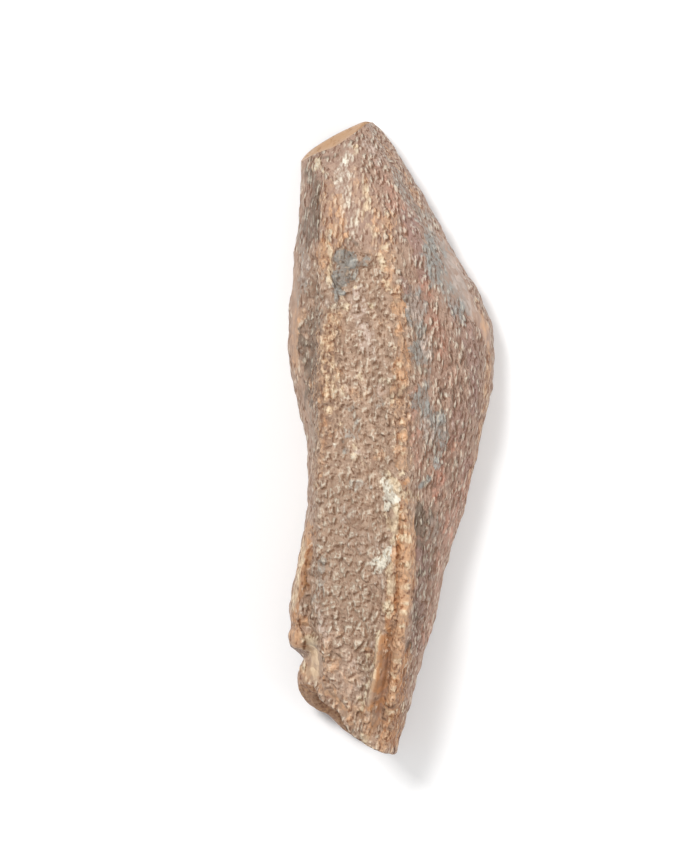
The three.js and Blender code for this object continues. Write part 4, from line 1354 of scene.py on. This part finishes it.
    def _crevice_dirt(self) -> bpy.types.NodeTree:
        """Darkens the low places: dirt in part, painted shade in the crevices and on grains' far sides."""
        wiring, given, made = self._new(
            "crevice dirt",
            {"Colour": "Color", "Dirt": "Color", "Low": "Float", "Strength": "Float"},
            {"Colour": "Color"},
        )
        share = wiring.times(wiring.ramp(given["Low"], *self.DIRT_LOW), given["Strength"])
        wiring.join(wiring.mixed(share, given["Colour"], given["Dirt"], "MULTIPLY"), made["Colour"])
        return wiring.tree


@dataclass(frozen=True)
class Finish:
    """A surface of the fossil.

    Attributes:
        name: The material's name.
        dark: Its darker granules, and the colour of its painted shade.
        light: Its lighter granules, and the colour of its painted light.
        dirt: Colour of dirt and of painted shade in its crevices and on its grains' far sides.
        density: Fine cells to the metre.
        draw: Share of that density along the tooth.
        relief: Height of the fine relief, in millimetres.
        roughness: Roughness on the tops of granules.
        dirt_strength: How much the dirt and painted shade darken.
        gloss: Strength of its clear reflection.
        bleach: How strong the painted highlight is on the tops and lit sides of its granules.
        blush: How much of the dull plum colour its drawn-out granules have.
        stained: Whether the marks of the skin are laid over it.
        deepening: How dark it turns towards the middle of an end, as painted shade into the pulp hollow.
    """

    name: str
    dark: Pigment
    light: Pigment
    dirt: Pigment
    density: float
    draw: float
    relief: float
    roughness: float
    dirt_strength: float
    gloss: float = 0.3
    bleach: float = 0.0
    blush: float = 0.0
    stained: bool = False
    deepening: float = 0.0

    STAIN_ORDER = (
        Pigment.RUST, Pigment.PLUM, Pigment.SLATE, Pigment.ASH, Pigment.UMBER, Pigment.AMBER, Pigment.OCHRE,
        Pigment.CREAM, Pigment.CHALK,
    )
    # Shares of the tone: a whole granule's own, a fine grain's own and the painted light on the grain.
    GRANULE_TONE, GRAIN_TONE, LIT_TONE = 0.25, 0.4, 0.5
    # Smoothness over which the fine relief fades, and the painted light on a place that has none.
    SMOOTHED, FLAT_LIGHT = (1.2, 0.1), 0.2
    # Painted light above which the tops get a painted highlight, and the cover of dark stains that keeps it
    # off.
    BLEACHED, COVERED = (0.3, 1.0), (1.1, 0.1)
    SLATE_COVER, UMBER_COVER, AMBER_COVER = 0.7, 0.35, 0.8
    # How much a crevice of the mesh darkens with dirt and painted shade, where an end deepens,
    # and what the darkened places add to roughness.
    CREVICE_DIRT, DEEP, DIRT_ROUGHNESS = 0.65, (0.1, 0.7), 0.3

    def material(self, groups: EffectGroups) -> bpy.types.Material:
        """Makes the material.

        Args:
            groups: The shared effects.

        Returns:
            A material whose colour, roughness and normal come from its nodes.
        """
        made = bpy.data.materials.new(self.name)
        made.use_nodes = True
        wiring = Wiring(made.node_tree)
        shader = made.node_tree.nodes["Principled BSDF"]
        grain = wiring.group(groups.fine_grain, {
            "Density": self.density,
            "Draw": self.draw,
            "Long": wiring.mask("drawn") if self.stained else 0.0,
            "Cobbles": wiring.mask("cobbles") if self.stained else 0.0,
        }).outputs
        # lit is the fine grains' painted light; gap is their painted shade on the far sides.
        lit, gap, relief = grain["Lit"], grain["Crevice"], 1.0
        if self.stained:
            relief = wiring.ramp(wiring.mask("smooth"), *self.SMOOTHED)
            lit = wiring.blend(relief, self.FLAT_LIGHT, lit)
            gap = wiring.times(gap, relief)
        shade = wiring.times(grain["Shade"], self.GRAIN_TONE)
        shade = wiring.times_plus(wiring.mask("shade"), self.GRANULE_TONE, shade)
        # The tone mixes random shades of the granules with the painted light of the fine grains.
        tone = wiring.times_plus(lit, self.LIT_TONE, shade)
        colour = wiring.mixed(tone, self.dark.linear, self.light.linear)
        if self.blush:
            share = wiring.times(wiring.mask("drawn"), self.blush)
            colour = wiring.mixed(share, colour, Pigment.PLUM.linear)
        if self.stained:
            for pigment in self.STAIN_ORDER:
                colour = wiring.group(groups.stain, {
                    "Colour": colour,
                    "Pigment": pigment.linear,
                    "Amount": wiring.mask(pigment.name.lower()),
                    "Breakup": tone,
                }).outputs[0]
        # Painted highlight: where the painted light is strong, the colour is mixed towards a pale cream.
        top = wiring.times(wiring.ramp(lit, *self.BLEACHED), self.bleach)
        # Colour of the dirt and painted shade, more orange where amber lies.
        dirt = self.dirt.linear
        if self.stained:
            cover = wiring.times(wiring.mask("slate"), self.SLATE_COVER)
            for stain, strength in (("umber", self.UMBER_COVER), ("amber", self.AMBER_COVER)):
                cover = wiring.maths("MAXIMUM", cover, wiring.times(wiring.mask(stain), strength))
            top = wiring.times(top, wiring.ramp(cover, *self.COVERED))
            dirt = wiring.mixed(wiring.mask("amber"), dirt, Pigment.OCHRE.linear)
        colour = wiring.mixed(top, colour, Pigment.BONE.linear)
        # Dirt and painted shade: crevices of the mesh, and the grains' far sides from the key light.
        low = wiring.maths("MAXIMUM", wiring.times(wiring.mask("crevice"), self.CREVICE_DIRT), gap)
        colour = wiring.group(groups.crevice_dirt, {
            "Colour": colour, "Dirt": dirt, "Low": low, "Strength": self.dirt_strength,
        }).outputs[0]
        # Painted shade, darkest towards the middle of an end, where the pulp hollow is.
        if self.deepening:
            depth = wiring.times(wiring.ramp(wiring.mask("depth"), *self.DEEP), self.deepening)
            colour = wiring.mixed(depth, colour, Pigment.SOOT.linear)
        colour = wiring.vector("MINIMUM", colour, Pigment.PALEST.linear[:3])
        bump = wiring.add("Bump", {
            "Height": grain["Height"],
            "Distance": self.relief * MM,
            "Strength": relief,
        })
        shader.inputs["Specular IOR Level"].default_value = self.gloss
        wiring.join(colour, shader.inputs["Base Color"])
        wiring.join(wiring.times_plus(low, self.DIRT_ROUGHNESS, self.roughness), shader.inputs["Roughness"])
        wiring.join(bump.outputs[0], shader.inputs["Normal"])
        return made


PEBBLED = Finish(
    "pebbled_dentine", Pigment.TAN_DARK, Pigment.TAN_LIGHT, Pigment.SIENNA,
    density=2400, draw=0.72, relief=0.18, roughness=0.45, dirt_strength=0.7,
    bleach=0.75, blush=0.35, stained=True,
)
ENAMEL = Finish(
    "dark_enamel", Pigment.UMBER, Pigment.RUST, Pigment.SOOT,
    density=900, draw=0.25, relief=0.03, roughness=0.3, dirt_strength=0.5,
)
WORN = Finish(
    "worn_facet", Pigment.CLAY, Pigment.HONEY, Pigment.SIENNA,
    density=1500, draw=0.3, relief=0.02, roughness=0.4, dirt_strength=0.2,
)
BROKEN = Finish(
    "broken_root", Pigment.SOOT, Pigment.CLAY, Pigment.SOOT,
    density=3500, draw=1.0, relief=0.05, roughness=0.6, dirt_strength=0.4, deepening=0.8,
)
FINISHES = (PEBBLED, ENAMEL, WORN, BROKEN)


# ---------------------------------------------------------------- the piece and its studio


def place_in_scene(name: str, data: bpy.types.ID) -> bpy.types.Object:
    """Makes an object of a mesh, a light or a camera and links it to the scene."""
    made = bpy.data.objects.new(name, data)
    bpy.context.scene.collection.objects.link(made)
    return made


@dataclass
class FossilTooth:
    """The tooth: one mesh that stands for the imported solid.

    Attributes:
        name: The piece's name.
    """

    name: str = "fossil_tooth"

    def faces(self, rings: int, columns: int) -> list[list[int]]:
        """Quads between neighbouring rings, in order from tip to root."""
        ring, column = np.meshgrid(np.arange(rings - 1), np.arange(columns), indexing="ij")
        following = (column + 1) % columns
        corners = (ring * columns + column, (ring + 1) * columns + column,
                   (ring + 1) * columns + following, ring * columns + following)
        return np.stack(corners, -1).reshape(-1, 4).tolist()

    def finish_of_faces(self, rings: int, columns: int, facet: int, root: int) -> Array:
        """Which finish each quad has: pebbled, enamel on the underside, worn or broken ends."""
        starts = np.cumsum([0] + [line.columns for line in FEATURE_LINES])
        enamel_from = starts[FEATURE_LINES.index(RIGHT_ENAMEL_EDGE)]
        finish = np.zeros((rings - 1, columns), int)
        finish[:, enamel_from:] = FINISHES.index(ENAMEL)
        finish[:facet] = FINISHES.index(WORN)
        finish[rings - 1 - root:] = FINISHES.index(BROKEN)
        return finish.ravel()

    def build(self, low: Vector, high: Vector, groups: EffectGroups) -> bpy.types.Object:
        """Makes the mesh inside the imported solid's box and dresses it.

        Args:
            low: The box's lowest corner, in metres.
            high: The box's highest corner, in metres.
            groups: The shared effects.

        Returns:
            The piece, at the origin.
        """
        low_mm, high_mm = np.array(low) / MM, np.array(high) / MM
        skin = ToothSkin(high_mm - low_mm)
        points, facet, root = skin.whole()
        rings, columns = points.shape[:2]
        middles = np.stack([points[0].mean(0), points[-1].mean(0)])
        flat = np.concatenate([points.reshape(-1, 3), middles])
        flat = self.set_in_box(flat, low_mm, high_mm)
        tip, base = len(flat) - 2, len(flat) - 1
        last = (rings - 1) * columns
        around = np.arange(columns)
        after = (around + 1) % columns
        tip_fan = np.stack([np.full(columns, tip), around, after], -1)
        root_fan = np.stack([np.full(columns, base), last + after, last + around], -1)
        quads = self.faces(rings, columns)
        mesh = bpy.data.meshes.new(self.name)
        mesh.from_pydata((flat * MM).tolist(), [], quads + tip_fan.tolist() + root_fan.tolist())
        finish = self.finish_of_faces(rings, columns, facet, root)
        fans = np.repeat([FINISHES.index(WORN), FINISHES.index(BROKEN)], columns)
        mesh.polygons.foreach_set("material_index", np.concatenate([finish, fans]).astype(np.int32))
        mesh.shade_smooth()
        for name, values in skin.masks.items():
            ends = [values[0].mean(), values[-1].mean()]
            layer = mesh.attributes.new(name, "FLOAT", "POINT")
            layer.data.foreach_set("value", np.concatenate([values.ravel(), ends]).astype(np.float32))
        for look in FINISHES:
            mesh.materials.append(look.material(groups))
        mesh.update()
        return place_in_scene(self.name, mesh)

    @staticmethod
    def set_in_box(points: Array, low: Array, high: Array) -> Array:
        """Moves and scales points on each axis so that they reach every face of a box."""
        least, most = points.min(0), points.max(0)
        return low + (points - least) * (high - low) / (most - least)


@dataclass
class Studio:
    """Pale floor, soft light and a camera that looks straight down on the tooth.

    Attributes:
        length: The tooth's length, in metres.
        aim: What the camera is centred on, in shares of the length.
        frame_height: Height of the picture at the tooth, in shares of its length.
        lens: Focal length, in millimetres.
        sensor: Width of the picture behind the lens, in millimetres.
    """

    length: float
    aim: tuple[float, float, float] = (-0.0652, 0.0159, 0.08)
    frame_height: float = 1.347
    lens: float = 400.0
    sensor: float = 36.0

    # Nearest and farthest that the camera sees, in shares of its distance.
    CLIP = (0.05, 50)
    # The floor's half side in lengths of the tooth, its colour and its roughness.
    FLOOR_REACH, FLOOR_COLOUR, FLOOR_ROUGHNESS = 60, (0.93, 0.93, 0.93, 1), 0.9
    # Each light's name, place and side in lengths of the tooth, and power in watts.
    LAMPS = (("key", (-3.4, 3.4, 8.0), 2.6, 1.1), ("fill", (7.0, -2.0, 6.0), 5.0, 0.75))
    SURROUND_STRENGTH = 0.55

    def camera(self) -> bpy.types.Object:
        """Adds the camera, far enough away for its lens to take in the picture's height."""
        data = bpy.data.cameras.new("camera")
        data.lens = self.lens
        data.sensor_width = self.sensor
        distance = self.frame_height * self.length * self.lens / self.sensor
        data.clip_start, data.clip_end = (distance * share for share in self.CLIP)
        made = place_in_scene("camera", data)
        made.location = Vector(self.aim) * self.length + Vector((0, 0, distance))
        bpy.context.scene.camera = made
        return made

    def floor(self) -> bpy.types.Object:
        """Adds a wide plain floor in a pale, matt finish."""
        reach = self.length * self.FLOOR_REACH
        mesh = bpy.data.meshes.new("floor")
        corners = [(x * reach, y * reach, 0) for x, y in ((-1, -1), (1, -1), (1, 1), (-1, 1))]
        mesh.from_pydata(corners, [], [(0, 1, 2, 3)])
        made = bpy.data.materials.new("pale_floor")
        made.use_nodes = True
        shader = made.node_tree.nodes["Principled BSDF"]
        shader.inputs["Base Color"].default_value = self.FLOOR_COLOUR
        shader.inputs["Roughness"].default_value = self.FLOOR_ROUGHNESS
        shader.inputs["Specular IOR Level"].default_value = 0.0
        mesh.materials.append(made)
        piece = place_in_scene("floor", mesh)
        return piece

    def lamp(self, name: str, place: tuple[float, float, float], side: float, power: float) -> None:
        """Adds a square soft light that faces the tooth.

        Args:
            name: The light's name.
            place: Where it is, in shares of the length.
            side: Its side, in shares of the length.
            power: Its power in watts.
        """
        data = bpy.data.lights.new(name, "AREA")
        data.size = side * self.length
        data.energy = power
        made = place_in_scene(name, data)
        made.location = Vector(place) * self.length
        made.rotation_mode = "QUATERNION"
        made.rotation_quaternion = (-made.location).to_track_quat("-Z", "Y")

    def light(self) -> None:
        """Lights the tooth from the upper left, softly, with an even pale surround."""
        for lamp in self.LAMPS:
            self.lamp(*lamp)
        world = bpy.data.worlds.new("surround")
        world.use_nodes = True
        background = world.node_tree.nodes["Background"].inputs
        background["Color"].default_value = (1, 1, 1, 1)
        background["Strength"].default_value = self.SURROUND_STRENGTH
        bpy.context.scene.world = world
        bpy.context.scene.view_settings.view_transform = "Standard"

    def build(self) -> None:
        """Adds the camera, the floor and the light."""
        self.camera()
        self.floor()
        self.light()


def main() -> None:
    """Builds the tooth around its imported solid, then the studio."""
    logging.basicConfig(level=logging.INFO, format="%(name)s: %(message)s")
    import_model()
    low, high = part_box(NODE)
    groups = EffectGroups()
    piece = FossilTooth().build(low, high, groups)
    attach(piece, "root")
    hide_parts(NODE)
    Log.info("%s: %d faces", piece.name, len(piece.data.polygons))
    Studio(high.y - low.y).build()


if __name__ == "__main__":
    main()
